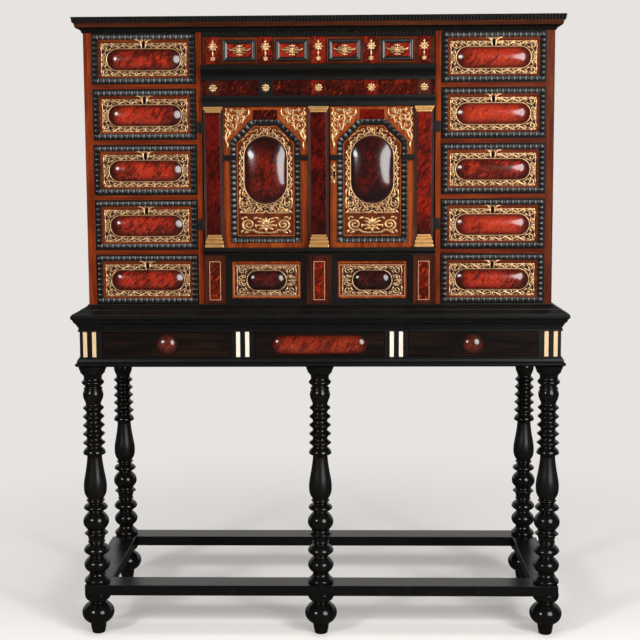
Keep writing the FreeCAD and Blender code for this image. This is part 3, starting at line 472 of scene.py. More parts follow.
def close():
    """Closes the piece that is open."""
    bpy.ops.object.mode_set(mode="OBJECT")


def settled(name):
    """The primitive just added, with its name, and its size and place put into its mesh."""
    piece = bpy.context.object
    piece.name = piece.data.name = name
    bpy.ops.object.transform_apply(location=True, rotation=True, scale=True)
    return piece


def tidy(piece, crease=35):
    """Welds the piece, turns its faces outwards and smooths all but its sharp edges."""
    pick(piece, "VERT")
    bpy.ops.mesh.remove_doubles(threshold=0.01 * MM)
    bpy.ops.mesh.normals_make_consistent(inside=False)
    close()
    bpy.ops.object.shade_smooth_by_angle(angle=math.radians(crease))
    return piece


def joined(name, pieces):
    """Several pieces of one finish as one."""
    if len(pieces) > 1:
        only(*pieces)
        bpy.ops.object.join()
    pieces[0].name = pieces[0].data.name = name
    return pieces[0]


def moved(piece, place, turn=0.0):
    """The piece carried to its place in mm, turned first about the front-to-back line."""
    piece.data.transform(Matrix.Translation([p * MM for p in place])
                         @ Matrix.Rotation(math.radians(turn), 4, "Y"))
    return piece


def twin(piece, name, place):
    """A copy with its own mesh, carried to its place."""
    made = piece.copy()
    made.data = piece.data.copy()
    made.name = made.data.name = name
    bpy.context.collection.objects.link(made)
    return moved(made, place)


def dress(piece, finish, body, *stands_for):
    """Gives the piece its finish and the body it moves with, and hides the CAD nodes that it stands
    for."""
    piece.data.materials.clear()
    piece.data.materials.append(FINISHES[finish])
    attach(piece, body)
    if stands_for:
        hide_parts(*stands_for)


print("bench tools ready")

# %% [markdown]
# ## Boards and trays
# A plain board is a cube at its size and place with its edges eased by a bevel. Its normals are
# levelled to its large faces, which then stay flat in the light. A drawer's box starts as the same
# cube: its top face is inset by the thickness of the lining, and that inner face is pushed down to
# the bottom board, which is how the box would be hollowed from a block.

# %% Boards and drawer boxes
LINING, BOTTOM, TRAY_EASE = 8.0, 6.0, 0.8


def board(name, low, high, ease, steps=2):
    """A squared board between two corners, with its edges eased."""
    bpy.ops.object.select_all(action="DESELECT")
    bpy.ops.mesh.primitive_cube_add(size=1, location=[(a + b) / 2 * MM for a, b in zip(low, high)])
    bpy.context.object.scale = [(b - a) * MM for a, b in zip(low, high)]
    piece = settled(name)
    if ease:
        pick(piece, "EDGE")
        bpy.ops.mesh.bevel(offset=ease * MM, segments=steps, affect="EDGES")
        close()
        bpy.ops.object.shade_smooth_by_angle(angle=math.radians(50))
        level = piece.modifiers.new("level", "WEIGHTED_NORMAL")
        level.keep_sharp = True
        bpy.ops.object.modifier_apply(modifier=level.name)
    return piece


def plate(name, x, half, foot, head, plane, proud, ease=0.15):
    """A thin board on the upright plane y = plane, centred on x, between two heights."""
    return board(name, (x - half, plane - proud, foot), (x + half, plane, head), ease)


def tray(name, half_wide, front, back, height):
    """An open drawer box standing on z = 0."""
    piece = board(name, (-half_wide, front, 0), (half_wide, back, height), 0)
    pick(piece, "FACE", lambda spot, way: way.z > 0.9)
    bpy.ops.mesh.inset(thickness=LINING * MM)
    drop = (0, 0, (BOTTOM - height) * MM)
    bpy.ops.mesh.extrude_region_move(TRANSFORM_OT_translate={"value": drop})
    close()
    pick(piece, "EDGE", lambda spot, way: spot.z > height - 0.1)
    bpy.ops.mesh.bevel(offset=TRAY_EASE * MM, segments=2, affect="EDGES")
    close()
    return tidy(piece)


print("boards ready")

# %% [markdown]
# ## Ripple mouldings
# The black mouldings have waves cut across them by a machine that rocks the plane as it goes. One
# wave is a cube whose two front edges are rounded over and thinned to the wave's depth, and cuts
# along it let it stand more or less proud over its width, as its section asks. An Array repeats it
# along a straight run, and each end is cut on the mitre. A run of mouldings round an outline,
# square or arched, is one strip per side.

# %% Strips of moulding and mitred runs
WAVE_ROUND = 0.47


def slope(low, high):
    """A flat section that is low proud at its outer edge and high at its inner edge."""
    return (0, low), (1, high)


def strip(name, length, wide, section, wave=None):
    """A moulding along x with its outer edge on z = 0; section gives how far it stands proud of
    y = 0 at shares of its width. A wave has a pitch, a depth and a fullness, which is round at 0.5
    and flatter below."""
    pitch, depth, fullness = wave or (length, 0, 0)
    count = max(1, round(length / pitch))
    pitch = length / count
    piece = board(name, (-pitch / 2, -1.0, 0), (pitch / 2, 0, wide), 0)
    if wave:
        pick(piece, "VERT", lambda spot, way: spot.y < -0.5)
        bpy.ops.transform.translate(value=(0, (1 - pitch / 2) * MM, 0))
        close()
        reach = WAVE_ROUND * pitch
        pick(piece, "EDGE", lambda spot, way: spot.y < -1.0 and abs(way.z) > 0.9 * wide * MM)
        bpy.ops.mesh.bevel(offset=reach * MM, segments=3, affect="EDGES", profile=fullness)
        bpy.ops.mesh.select_all(action="SELECT")
        bpy.ops.transform.resize(value=(1, depth / reach, 1), center_override=(0, 0, 0))
        close()
    crest = min(v.co.y for v in piece.data.vertices) / MM
    for share, _ in section[1:-1]:
        pick(piece, "VERT")
        bpy.ops.mesh.bisect(plane_co=(0, 0, share * wide * MM), plane_no=(0, 0, 1))
        close()
    for share, proud in section:
        pick(piece, "VERT", lambda spot, way: abs(spot.z - share * wide) < 0.01 and spot.y < -0.01)
        bpy.ops.transform.translate(value=(0, (-proud - crest) * MM, 0))
        close()
    pick(piece, "FACE", lambda spot, way: abs(way.x) > 0.99)
    bpy.ops.mesh.delete(type="FACE")
    close()
    if count > 1:
        row = piece.modifiers.new("row", "ARRAY")
        row.count, row.relative_offset_displace = count, (1, 0, 0)
        row.use_merge_vertices, row.merge_threshold = True, 0.05 * MM
        bpy.ops.object.modifier_apply(modifier=row.name)
        piece.data.transform(Matrix.Translation(((pitch - length) / 2 * MM, 0, 0)))
    return piece


def cut(piece, spot, facing):
    """Saws off what lies beyond the spot in the facing direction and closes the sawn end."""
    pick(piece, "VERT")
    bpy.ops.mesh.bisect(plane_co=[s * MM for s in spot], plane_no=facing, use_fill=True,
                        clear_outer=True)
    close()


def run(name, outline, wide, section, wave=None):
    """Mitred strips round an outline of (x, z) points that goes anticlockwise, seen from the
    front."""
    points = [Vector((x, 0, z)) for x, z in outline]
    ways = [(b - a).normalized() for a, b in zip(points, points[1:] + points[:1])]
    sides = []
    for i, way in enumerate(ways):
        start, end = points[i], points[(i + 1) % len(points)]
        side = strip(f"{name}_{i}", (end - start).length, wide, section, wave)
        moved(side, (start + end) / 2, -math.degrees(math.atan2(way.z, way.x)))
        cut(side, start, -(ways[i - 1] + way))
        cut(side, end, way + ways[(i + 1) % len(ways)])
        sides.append(tidy(side, 40))
    return joined(name, sides)


def square(half_wide, low, high):
    """The corners of an upright rectangle, anticlockwise."""
    return [(-half_wide, low), (half_wide, low), (half_wide, high), (-half_wide, high)]


print("ripple tools ready")

# %% [markdown]
# ## Shell cushions
# Each cushion is a thin plate of shell pressed to a low dome with round ends. A filled circle is
# parted in the middle to make its long outline, and insets that rise less and less crown it, as
# far as a narrow ridge. Cuts across it then let it fall towards its ends. The back is closed, so
# that the cushion is a solid piece.

# %% Crowned cushions
CROWN_STEPS = (0.0, 0.02, 0.06, 0.13, 0.22, 0.33, 0.46, 0.60, 0.74, 0.88)
CUSHION_CUTS = 18


def cushion(name, half_wide, half_tall, proud, bow=0.15, bend=2, points=64):
    """A crowned plate with round ends on y = 0; bow is the share of its height that is lost
    towards its ends, and a higher bend keeps the fall nearer to them."""
    end_round = min(half_wide, half_tall)
    bpy.ops.object.select_all(action="DESELECT")
    bpy.ops.mesh.primitive_circle_add(vertices=points, radius=end_round * MM, fill_type="NGON",
                                      rotation=(math.pi / 2, 0, 0))
    piece = settled(name)
    for axis, spare in ((0, half_wide - end_round), (2, half_tall - end_round)):
        for side in (-1, 1) if spare > 0.01 else ():
            pick(piece, "VERT", lambda spot, way: spot[axis] * side > 0.01)
            shift = [0, 0, 0]
            shift[axis] = side * spare * MM
            bpy.ops.transform.translate(value=shift)
            close()
    pick(piece, "FACE")
    for here, there in zip(CROWN_STEPS, CROWN_STEPS[1:]):
        lift = [(1 - (1 - share) ** 2.1) ** 0.75 * proud for share in (here, there)]
        bpy.ops.mesh.inset(thickness=(there - here) * end_round * MM,
                           depth=(lift[1] - lift[0]) * MM)
    close()
    pick(piece, "EDGE", lambda spot, way: spot.y > -0.01)
    bpy.ops.mesh.edge_face_add()
    close()
    axis, half = (0, half_wide) if half_wide > half_tall else (2, half_tall)
    for i in range(1, CUSHION_CUTS):
        spot, facing = [0, 0, 0], [0, 0, 0]
        spot[axis], facing[axis] = half * (2 * i / CUSHION_CUTS - 1) * MM, 1
        pick(piece, "VERT")
        bpy.ops.mesh.bisect(plane_co=spot, plane_no=facing)
        close()
    for corner in piece.data.vertices:
        corner.co.y *= 1 - bow * abs(corner.co[axis] / MM / half) ** bend
    return tidy(piece, 60)


print("cushion tool ready")

# %% [markdown]
# ## Pierced gilt work
# The mounts are brass sheet, sawn into scrolls and leaves, domed, chased and gilt. Cutting holes
# in a plate would leave hard flat edges, so each scroll, stem and leaf is drawn instead as a line
# with a width that swells and tapers. The lines become one curve with a round section, which is
# turned into a mesh and pressed nearly flat. A vine is a waving stem with a curl in each hollow.

# %% Scrolls, leaves and vines
VINE_TURNS = 0.95


def curl(x, z, radius, facing, turns, wide, hand=1, core=0.18):
    """A scroll that starts on its outside at the facing angle and winds in to a knob."""
    count = max(7, round(turns * 11))
    line = []
    for i in range(count + 1):
        share = i / count
        reach = radius * (1 - (1 - core) * share ** 0.85)
        angle = math.radians(facing) + hand * turns * 2 * math.pi * share
        line.append((x + reach * math.cos(angle), z + reach * math.sin(angle),
                     wide * (1 - 0.3 * share)))
    line[-1] = (*line[-1][:2], wide * 1.25)
    return line


def leaf(x0, z0, x1, z1, bow, wide):
    """A leaf from stalk to tip, bowed to its left by a share of its length."""
    line = []
    for i in range(7):
        share = i / 6
        side = 4 * bow * share * (1 - share)
        swell = 0.28 + 0.72 * math.sin(math.pi * share ** 0.8) if i < 6 else 0.15
        line.append((x0 + (x1 - x0) * share - (z1 - z0) * side,
                     z0 + (z1 - z0) * share + (x1 - x0) * side, wide * swell))
    return line


def vine(spot, length, pitch, reach, wide):
    """A running vine: spot(s) gives the place and outward way at s along its middle line."""
    count = max(2, round(length / pitch))
    pitch = length / count
    stem, lines = [], []
    for i in range(count * 6 + 1):
        s = i * pitch / 6
        x, z, ox, oz = spot(s)
        swing = 0.62 * reach * math.sin(math.pi * s / pitch)
        stem.append((x + ox * swing, z + oz * swing, wide))
    for i in range(count):
        side = 1 if i % 2 == 0 else -1
        x, z, ox, oz = spot((i + 0.5) * pitch)
        start = spot(i * pitch)
        cx, cz = x - ox * side * 0.22 * reach, z - oz * side * 0.22 * reach
        facing = math.degrees(math.atan2(start[1] - cz, start[0] - cx))
        turning = (start[0] - cx) * oz * side - (start[1] - cz) * ox * side
        lines.append(curl(cx, cz, min(0.5 * pitch, 0.78 * reach), facing, VINE_TURNS, wide * 0.92,
                          1 if turning > 0 else -1, 0.34))
        tip = spot((i + 0.86) * pitch)
        lines.append(leaf(x + ox * side * 0.6 * reach, z + oz * side * 0.6 * reach,
                          tip[0] + ox * side * 1.04 * reach, tip[1] + oz * side * 1.04 * reach,
                          0.12 * side, wide * 1.35))
    return [stem] + lines


def straight(x0, z0, x1, z1):
    """The middle line of a straight vine and its length."""
    length = math.hypot(x1 - x0, z1 - z0)
    along = ((x1 - x0) / length, (z1 - z0) / length)
    return (lambda s: (x0 + along[0] * s, z0 + along[1] * s, -along[1], along[0])), length


def redrawn(lines, x=1, z=1, wide=1, right=0, rise=0):
    """The lines with their places and widths times these numbers, and then moved."""
    return [[(px * x + right, pz * z + rise, w * wide) for px, pz, w in line] for line in lines]


def mirrored(lines, four=False):
    """The lines with their mirror images left to right, and for four also top to bottom."""
    lines = lines + redrawn(lines, x=-1)
    return lines + (redrawn(lines, z=-1) if four else [])


def oval(half_wide, half_tall, wide, count=72):
    """A closed line round a plate with round ends."""
    end_round = min(half_wide, half_tall)
    line = []
    for i in range(count):
        angle = 2 * math.pi * (i + 0.5) / count
        x, z = end_round * math.cos(angle), end_round * math.sin(angle)
        line.append((x + math.copysign(half_wide - end_round, x),
                     z + math.copysign(half_tall - end_round, z), wide))
    return line + [line[0]]


def drawn(name, lines, thick=0.0):
    """Lines of (x, z, width) on y = 0 as one curve, turned into a mesh; thick makes them round."""
    curve = bpy.data.curves.new(name, "CURVE")
    curve.dimensions, curve.use_fill_caps = "3D", True
    curve.bevel_depth, curve.bevel_resolution = thick, 1
    for line in lines:
        ring = line[0] == line[-1]
        points = line[:-1] if ring else line
        thread = curve.splines.new("POLY")
        thread.points.add(len(points) - 1)
        thread.use_cyclic_u = ring
        for point, (x, z, wide) in zip(thread.points, points):
            point.co, point.radius = (x * MM, 0, z * MM, 1), wide / 2
    piece = bpy.data.objects.new(name, curve)
    bpy.context.collection.objects.link(piece)
    only(piece)
    bpy.ops.object.convert(target="MESH")
    return settled(name)


def gilt_work(name, lines, place, proud=0.62):
    """The lines as flattened gilt wire and leaf at a place; proud is its height for its width."""
    piece = drawn(name, lines, MM)
    pick(piece, "VERT")
    bpy.ops.transform.resize(value=(1, proud, 1), center_override=(0, 0, 0))
    bpy.ops.mesh.normals_make_consistent(inside=False)
    close()
    bpy.ops.object.shade_smooth()
    return moved(piece, place)


print("gilt tools ready")

# %% [markdown]
# ## Side drawers: box, front and lock
# Ten side drawers are alike: an oak box, a rosewood front and an iron lock behind it. The first is
# modelled where its CAD node stands, and the rest are copies carried by the distance between their
# CAD nodes, so each sits exactly in its own opening.

# %% Names, places and the drawer's carcass
FACE, DOOR_FACE, CASE_FRONT = -209.0, -211.0, -213.0
FRONT_THICK, LINING_DROP, LOCK = 16.0, 14.0, (42.0, 8.0, 30.0)


def corners(node):
    """The low and high corner of a CAD node in mm."""
    return [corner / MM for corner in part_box(node)]


def drawer_carcass(node, plane):
    """The front board, box and lock of a drawer, by their kind."""
    low, high = corners(node)
    middle, inside = (low.x + high.x) / 2, plane + FRONT_THICK
    head = high.z - LINING_DROP
    front = board("front", (low.x, plane, low.z), (high.x, inside, high.z), 0.6)
    box = tray("box", (high.x - low.x) / 2, inside, high.y, head - low.z)
    moved(box, (middle, 0, low.z))
    wide, deep, tall = LOCK
    lock = board("lock", (middle - wide / 2, inside, head - tall),
                 (middle + wide / 2, inside + deep, head), 1.2)
    bolt = board("bolt", (middle - 7, inside + 1, head), (middle + 7, inside + 5, head + 4), 0.6)
    return {"front": front, "box": box, "lock": joined("lock", [lock, bolt])}


FINISH_OF = {"front": "rosewood_field", "box": "oak_front_to_back", "lock": "black_iron",
             "ripple": "ebony_drawer_frame", "fret": "gilt_chased", "keyhole": "keyhole_black",
             "line": "stringing", "bevel": "rosewood_field", "fillet": "ebony_cornice",
             "ground": "fret_ground_and_shade"}
side_drawers = [f"{side}_drawer_{n}" for side in ("left", "right") for n in range(1, 6)]
first = side_drawers[0]
side_kit = drawer_carcass(first, FACE)
first_low, first_high = corners(first)
column_x, drawer_half = (first_low.x + first_high.x) / 2, (first_high.x - first_low.x) / 2
drawer_middle = (first_low.z + first_high.z) / 2 - 2
print("side drawer", round(2 * drawer_half, 1), "wide, middle at", round(drawer_middle, 1))

# %% [markdown]
# ## Side drawers: ripple frame, cushion and pierced mount
# Round the face run a plain fillet, a band of waves and a thin bevel of rosewood. The cushion
# stands on a dark ground in the middle of a gilt border: vines along the strips above and below, a
# big scroll in each corner, a smooth rim round the shell, and a leafy plate with a keyhole that
# rises above the border's top edge. The dark ground is partly the wood under the mount and partly
# painted shade in its piercings.

# %% The rippled frame and the cushion of a side drawer
FILLET, BAND, BEVEL = 3.0, 12.5, 5.8
RIPPLE = (0, 4.4), (0.05, 5.9), (0.34, 6.9), (0.66, 6.9), (0.95, 5.9), (1, 4.4)
RIPPLE_WAVE = 14.0, 2.7, 0.34
BEVEL_SECTION = (0, 2.4), (0.3, 2.6), (1, 0.9)
SIDE_CUSHION = {"half_wide": 91, "half_tall": 25.1, "proud": 11, "bow": 0.55, "bend": 4}
GROUND_HALF, GROUND_TALL, GROUND_PROUD = 106.5, 40, 0.4


def face_outline(inset):
    """The outline of the side drawer's face, drawn in."""
    return square(drawer_half - inset, first_low.z + inset, first_high.z - inset)


for kind, inset, bar in (("fillet", 0, (FILLET, slope(3.4, 3.7))),
                         ("ripple", FILLET, (BAND, RIPPLE, RIPPLE_WAVE)),
                         ("bevel", FILLET + BAND, (BEVEL, BEVEL_SECTION))):
    side_kit[kind] = moved(run(kind, face_outline(inset), *bar), (column_x, FACE, 0))
# A dark ground plate: the wood under the border and painted shade in its piercings.
side_kit["ground"] = plate("ground", column_x, GROUND_HALF, drawer_middle - GROUND_TALL,
                           drawer_middle + GROUND_TALL, FACE, GROUND_PROUD)
side_kit["cushion"] = moved(cushion("cushion", **SIDE_CUSHION), (column_x, FACE, drawer_middle))
print("ripple frame faces", len(side_kit["ripple"].data.polygons))

# %% The pierced border of a side drawer
def knob(x, z, wide):
    """A small round boss."""
    return [(x, z - 0.35 * wide, 0.5 * wide), (x, z, wide), (x, z + 0.35 * wide, 0.5 * wide)]


def edging(half_wide, half_tall, wide):
    """A closed line round an upright rectangle."""
    edge = square(half_wide, -half_tall, half_tall)
    return [(x, z, wide) for x, z in edge + edge[:1]]


def drawer_border():
    """One quarter of the border, mirrored to four, then the rim of the shell and the edge."""
    spot, length = straight(11, 33.7, 84, 33.7)
    quarter = vine(spot, length, 14.6, 6.4, 3.2)
    quarter += [curl(95.6, 29.8, 8.8, 150, 1.25, 3.5, -1, 0.24),
                curl(99.6, 11.6, 6.2, 100, 1.1, 3.1, 1, 0.3), leaf(85, 37.6, 100, 39.2, 0.08, 3.8),
                leaf(104.8, 22, 105, 36, -0.08, 3.8), leaf(99.5, 34.5, 106.5, 40.2, 0.1, 5.0),
                leaf(88.5, 22.4, 97, 19, 0.2, 3.6), leaf(81.5, 29.5, 90, 25, -0.25, 3.6),
                leaf(94.8, 4.2, 105, 3.2, 0.1, 3.6), leaf(105, 6, 105.4, 18, 0.05, 3.2)]
    lines = mirrored(quarter, four=True) + [oval(92.9, 27.0, 2.4), edging(105.6, 39.4, 2.0)]
    lines += [leaf(95, 0, 107, 0, 0, 4.4), leaf(-95, 0, -107, 0, 0, 4.4)]
    tuft = [leaf(0, 28.5, 0, 40.4, 0, 5.2), leaf(1, 29.5, 7, 39.8, 0.2, 4.2),
            leaf(3.5, 29, 12, 33.5, 0.2, 3.8)]
    return lines + redrawn(mirrored(tuft), z=-1)


def keyhole_leaves():
    """The leafy plate round a keyhole, with its hole at the origin."""
    side = [leaf(3.4, -11, 4.4, 7, -0.12, 4.4), leaf(4.4, -1, 21.5, 9.4, 0.22, 5.4),
            leaf(2.4, 6, 9.6, 13.8, 0.15, 4.2), leaf(5, -6, 19, -0.5, 0.2, 4.6),
            leaf(9, 2, 15.5, 10.5, 0.1, 3.6)]
    return mirrored(side)


def keyhole():
    """The hole itself as a dark shape, a painted shade: a round eye over a slot."""
    return [[(0, 4.2, 2.4), (0, 3.2, 5.2), (0, 1.6, 6.4), (0, 0, 5.8), (0, -1.8, 3.6),
             (0, -6, 3.9), (0, -10, 4.4)]]


KEYHOLE_RISE = 38.5
lines = redrawn(drawer_border(), wide=1.1)
border = gilt_work("border", lines, (column_x, FACE - GROUND_PROUD, drawer_middle))
key_place = drawer_middle + KEYHOLE_RISE
leaves = gilt_work("leaves", keyhole_leaves(), (column_x, FACE - 2.4, key_place))
side_kit["fret"] = joined("fret", [border, leaves])
side_kit["keyhole"] = gilt_work("keyhole", keyhole(), (column_x, FACE - 3.8, key_place), 0.3)
print("border:", len(lines), "strokes,", len(side_kit["fret"].data.polygons), "faces")

def fit_kit(kit, nodes, **changed):
    start = corners(nodes[0])[0]
    for node in nodes:
        for kind, piece in kit.items():
            made = twin(piece, f"{node}_{kind}", corners(node)[0] - start)
            finish = changed.get(kind) or FINISH_OF[kind]
            dress(made, finish, node, *([node] if kind == "front" else []))
    for piece in kit.values():
        bpy.data.objects.remove(piece)


BRIGHT_DRAWERS = "right_drawer_1", "right_drawer_2", "right_drawer_4"
fit_kit(side_kit, side_drawers, cushion="shell_cushion_left")
for node in BRIGHT_DRAWERS:
    shells = bpy.data.objects[f"{node}_cushion"].data.materials
    shells[0] = FINISHES["shell_cushion_right"]
print("side drawers fitted:", len(side_drawers))

# %% [markdown]
# ## Plinth drawers
# Under each door is a drawer with a plain black frame, a rosewood bevel, a line of pale stringing
# and a fuller gilt border round a darker cushion. The border is drawn as one quarter again, with
# larger scrolls.

# %% The two plinth drawers
PLINTH_DRAWERS = ["left_plinth_drawer", "right_plinth_drawer"]
PLINTH_MIDDLE, PLINTH_BAND = 920.4, 14.0
PLINTH_BEVEL = (0, 2.0), (0.3, 3.0), (0.6, 2.6), (1, 0.8)
low, high = corners(PLINTH_DRAWERS[0])
plinth_kit = drawer_carcass(PLINTH_DRAWERS[0], FACE)
plinth_x, plinth_half = (low.x + high.x) / 2, (high.x - low.x) / 2
foot, head = PLINTH_MIDDLE - 45.0, PLINTH_MIDDLE + 47.5
line_foot, line_head = PLINTH_MIDDLE - 39.8, PLINTH_MIDDLE + 39.8
for kind, outline, wide, section in (
        ("ripple", square(plinth_half, low.z, high.z), PLINTH_BAND, slope(7, 5.5)),
        ("bevel", square(plinth_half - PLINTH_BAND, foot, head), 4.4, PLINTH_BEVEL),
        ("line", square(plinth_half - 18.4, line_foot, line_head), 1.2, slope(1.4, 1.4))):
    plinth_kit[kind] = moved(run(kind, outline, wide, section), (plinth_x, FACE, 0))
# A dark ground plate: the wood under the border and painted shade in its piercings.
plinth_kit["ground"] = plate("ground", plinth_x, 74.5, PLINTH_MIDDLE - 36, PLINTH_MIDDLE + 36,
                             FACE, GROUND_PROUD)
plinth_kit["cushion"] = moved(cushion("cushion", 48.5, 24, 9.5), (plinth_x, FACE, PLINTH_MIDDLE))
spot, length = straight(2, 31.0, 38, 31.0)
quarter = vine(spot, length, 13, 5.4, 2.7)
quarter += [curl(61.8, 24.6, 9.6, 170, 1.35, 3.3, -1, 0.24),
            curl(46.6, 31.2, 4.6, 200, 1.0, 2.7, -1, 0.4),
            curl(66.6, 8.2, 6.4, 110, 1.1, 2.9, 1, 0.3),
            curl(55.4, 10.4, 4.4, 60, 1.0, 2.5, -1, 0.4), leaf(50, 35, 72, 35.4, 0.05, 3.2),
            leaf(73.6, 14, 73.8, 33, -0.06, 3.2), leaf(68.5, 30.5, 75.4, 36.6, 0.1, 4.4),
            leaf(48, 25, 53, 15.5, 0.2, 3.4), leaf(55, 0.9, 75.4, 1.2, 0.0, 3.4)]
tuft = mirrored([leaf(0, 33, 0, 41, 0, 4.6), leaf(1, 34, 6, 39, 0.2, 3.4)])
lines = redrawn(mirrored(quarter, four=True) + [oval(50.0, 25.6, 2.4)] + tuft, wide=1.15)
lines.append(edging(73.8, 35.6, 1.8))
plinth_kit["fret"] = gilt_work("fret", lines, (plinth_x, FACE - GROUND_PROUD, PLINTH_MIDDLE))
fit_kit(plinth_kit, PLINTH_DRAWERS, cushion="shell_cushion_plinth", ripple="ebony_cornice",
        bevel="rosewood_door")
print("plinth drawers fitted, border strokes", len(lines))

# %% [markdown]
# ## Frieze drawer
# Over the doors one wide drawer carries five upright strips of shell and four small red panels in
# rounded black frames, each inside a thin brown line. Gilt pendants hang on the strips, and a small
# cartouche between two leafy wings sits in each panel. The winged leaf is a common ornament of such
# cabinets and needs no figure in it.

# %% The frieze drawer and its panels
frieze = "frieze_drawer"
low, high = corners(frieze)
PANEL_MIDDLE, STRIP_HEAD = 1493.0, 1526.5
STRIP_PROUD, PANEL_PROUD = 1.2, 1.6
STRIP_PLACES, PANEL_PLACES = (-262, -131, 0, 131, 262), (-195.75, -65.25, 65.25, 195.75)
PANEL_FRAME = (0, 2.4), (0.16, 5.2), (0.34, 5.6), (0.6, 4.9), (0.8, 4.0), (1, 2.9)
HEAD_WAVE = 8.4, 1.6, 0.5
fit_kit(drawer_carcass(frieze, FACE), [frieze], front="rosewood_band")
head = strip("head", high.x - low.x, 10, slope(3.2, 5), HEAD_WAVE)
moved(head, (0, FACE, high.z), 180)
for side in (-1, 1):
    cut(head, (side * (high.x - 0.2), 0, 0), (side, 0, 0))


def round_panels(kind, outline, wide, section):
    """The same run of moulding round each panel, as one piece."""
    made = [moved(run(f"{kind}_{i}", outline, wide, section), (x, FACE, PANEL_MIDDLE))
            for i, x in enumerate(PANEL_PLACES)]
    return joined(f"{frieze}_{kind}", made)


def plates(kind, places, *sizes):
    """The same plate at each place, as one piece."""
    made = [plate(f"{kind}_{i}", x, *sizes) for i, x in enumerate(places)]
    return joined(f"{frieze}_{kind}", made)


frames = round_panels("frames", square(40, -26, 26), 10, PANEL_FRAME)
lines = round_panels("lines", square(43.6, -30.5, 30.5), 3.4, slope(1.8, 1.0))
panels = plates("panels", PANEL_PLACES, 30.5, PANEL_MIDDLE - 16.5, PANEL_MIDDLE + 16.5, FACE,
                PANEL_PROUD)
strips = plates("strips", STRIP_PLACES, 16.5, low.z + 2, STRIP_HEAD, FACE, STRIP_PROUD)
head = joined("frieze_drawer_head", [tidy(head)])
for piece, finish in ((lines, "rosewood_field"), (head, "ebony_cornice"),
                      (frames, "ebony_rippled"), (panels, "shell_red"), (strips, "shell_upright")):
    dress(piece, finish, frieze)
print("frieze drawer panels", len(PANEL_PLACES), "strips", len(STRIP_PLACES))

# %% Pendants and winged cartouches
def spray(x, z, count, inner, outer, wide):
    """Leaves that fan out all round a middle."""
    ways = [math.radians(90 + 360 * i / count) for i in range(count)]
    return [leaf(x + inner * math.cos(way), z + inner * math.sin(way),
                 x + outer * math.cos(way), z + outer * math.sin(way), 0, wide) for way in ways]


def pendant(x):
    """A pointed star of leaves with a small flower hanging from it."""
    return (spray(x, 9.5, 8, 2, 12.2, 7.0)
            + [knob(x, 9.5, 9), leaf(x, 17, x, 27, 0, 6.4), leaf(x, 0, x, -15, 0, 5.0)]
            + spray(x, -20, 6, 1, 7.0, 6.0) + [knob(x, -20, 5.4)])


def winged_palmette():
    """A small round cartouche between two leafy wings."""
    side = [[(5, 0.5, 8.0), (12, 1.4, 8.6), (18, 0.6, 7.0), (23, 1.8, 5.2), (27.4, 5.2, 2.4)],
            [(6, 5.4, 4.0), (11, 7.2, 4.4), (15.5, 6.0, 3.0)],
            [(6, -4.9, 4.0), (11, -6.4, 4.4), (16, -5, 3.2)], leaf(3, 8, 8, 12.6, 0.15, 4.4),
            leaf(3, -7.5, 8, -12, -0.15, 4.4)]
    return (mirrored(side) + spray(0, 0, 8, 2, 8.6, 6.4)
            + [knob(0, 0, 9), leaf(0, 7, 0, 15.6, 0, 6), leaf(0, -7, 0, -14.6, 0, 6)])


lines = [line for x in STRIP_PLACES for line in pendant(x)]
pendants = gilt_work("frieze_drawer_pendants", lines, (0, FACE - STRIP_PROUD, PANEL_MIDDLE))
lines = [line for x in PANEL_PLACES for line in redrawn(winged_palmette(), right=x)]
wings = gilt_work("frieze_drawer_palmettes", lines, (0, FACE - PANEL_PROUD, PANEL_MIDDLE))
hole = gilt_work("frieze_drawer_keyhole", keyhole(), (22.5, FACE - 0.2, PANEL_MIDDLE - 4), 0.2)
for piece, finish in ((pendants, "gilt_chased"), (wings, "gilt_chased"), (hole, "keyhole_black")):
    dress(piece, finish, frieze)
print("gilt faces on the frieze drawer:", len(pendants.data.polygons), len(wings.data.polygons))

# %% [markdown]
# ## Doors: arch, panel and cushion
# Each door is a small temple front. A rippled arch with cut corners stands on black imposts and
# holds a darker veneer with a thin pale line, a crowned oval of shell and gilt work. One set of
# pieces is built on the plane of the doors, and each door gets a copy at the middle of its arch.

# %% Arched moulding, veneer and cushion of a door
ARCH_X, ARCH_HALF, ARCH_FOOT, ARCH_HEAD, ARCH_CUT = 133.25, 87.5, 1017.0, 1323.0, 52.5
OVAL_MIDDLE, OVAL_HALF = 1198.0, (53.0, 84.0)


def arch(inset):
    """The arch's outline, drawn in by an inset."""
    half, foot, top = ARCH_HALF - inset, ARCH_FOOT + inset, ARCH_HEAD - inset
    knee = ARCH_CUT - inset * (2 - math.sqrt(2))
    return [(-half, foot), (half, foot), (half, top - knee), (half - knee, top),
            (knee - half, top), (-half, top - knee)]


ARCH_RIPPLE = (0, 4.8), (0.06, 7.4), (0.14, 7.6), (0.94, 4.4), (1, 3.2)
ARCH_WAVE = 14.2, 2.8, 0.5
DOOR_LINE = (0, 0.4), (0.5, 1.1), (1, 0.4)
VENEER_PROUD, OVAL_MARGIN = 0.7, 13
door_kit = {"ripple": run("ripple", arch(0), 14.5, ARCH_RIPPLE, ARCH_WAVE)}
half, foot, top = 73.4, ARCH_FOOT + 14, ARCH_HEAD - 14
veneer = plate("veneer", 0, half, foot, top, 0, VENEER_PROUD, 0)
for side in (-1, 1):
    cut(veneer, (side * half, 0, top - ARCH_CUT + 8), (side, 0, 1))
door_kit["veneer"] = tidy(veneer)
imposts = [plate(f"impost_{side}", side * ARCH_HALF, 15.5, 1222, 1235.5, 0, 8.6, 0.8)
           for side in (-1, 1)]
door_kit["impost"] = joined("impost", imposts)
door_kit["block"] = plate("block", 0, 31, 1320, 1347, 0, 1.4, 0.5)
dome = cushion("cushion", *OVAL_HALF, 14, 0.72, points=96)
door_kit["cushion"] = moved(dome, (0, 0, OVAL_MIDDLE))
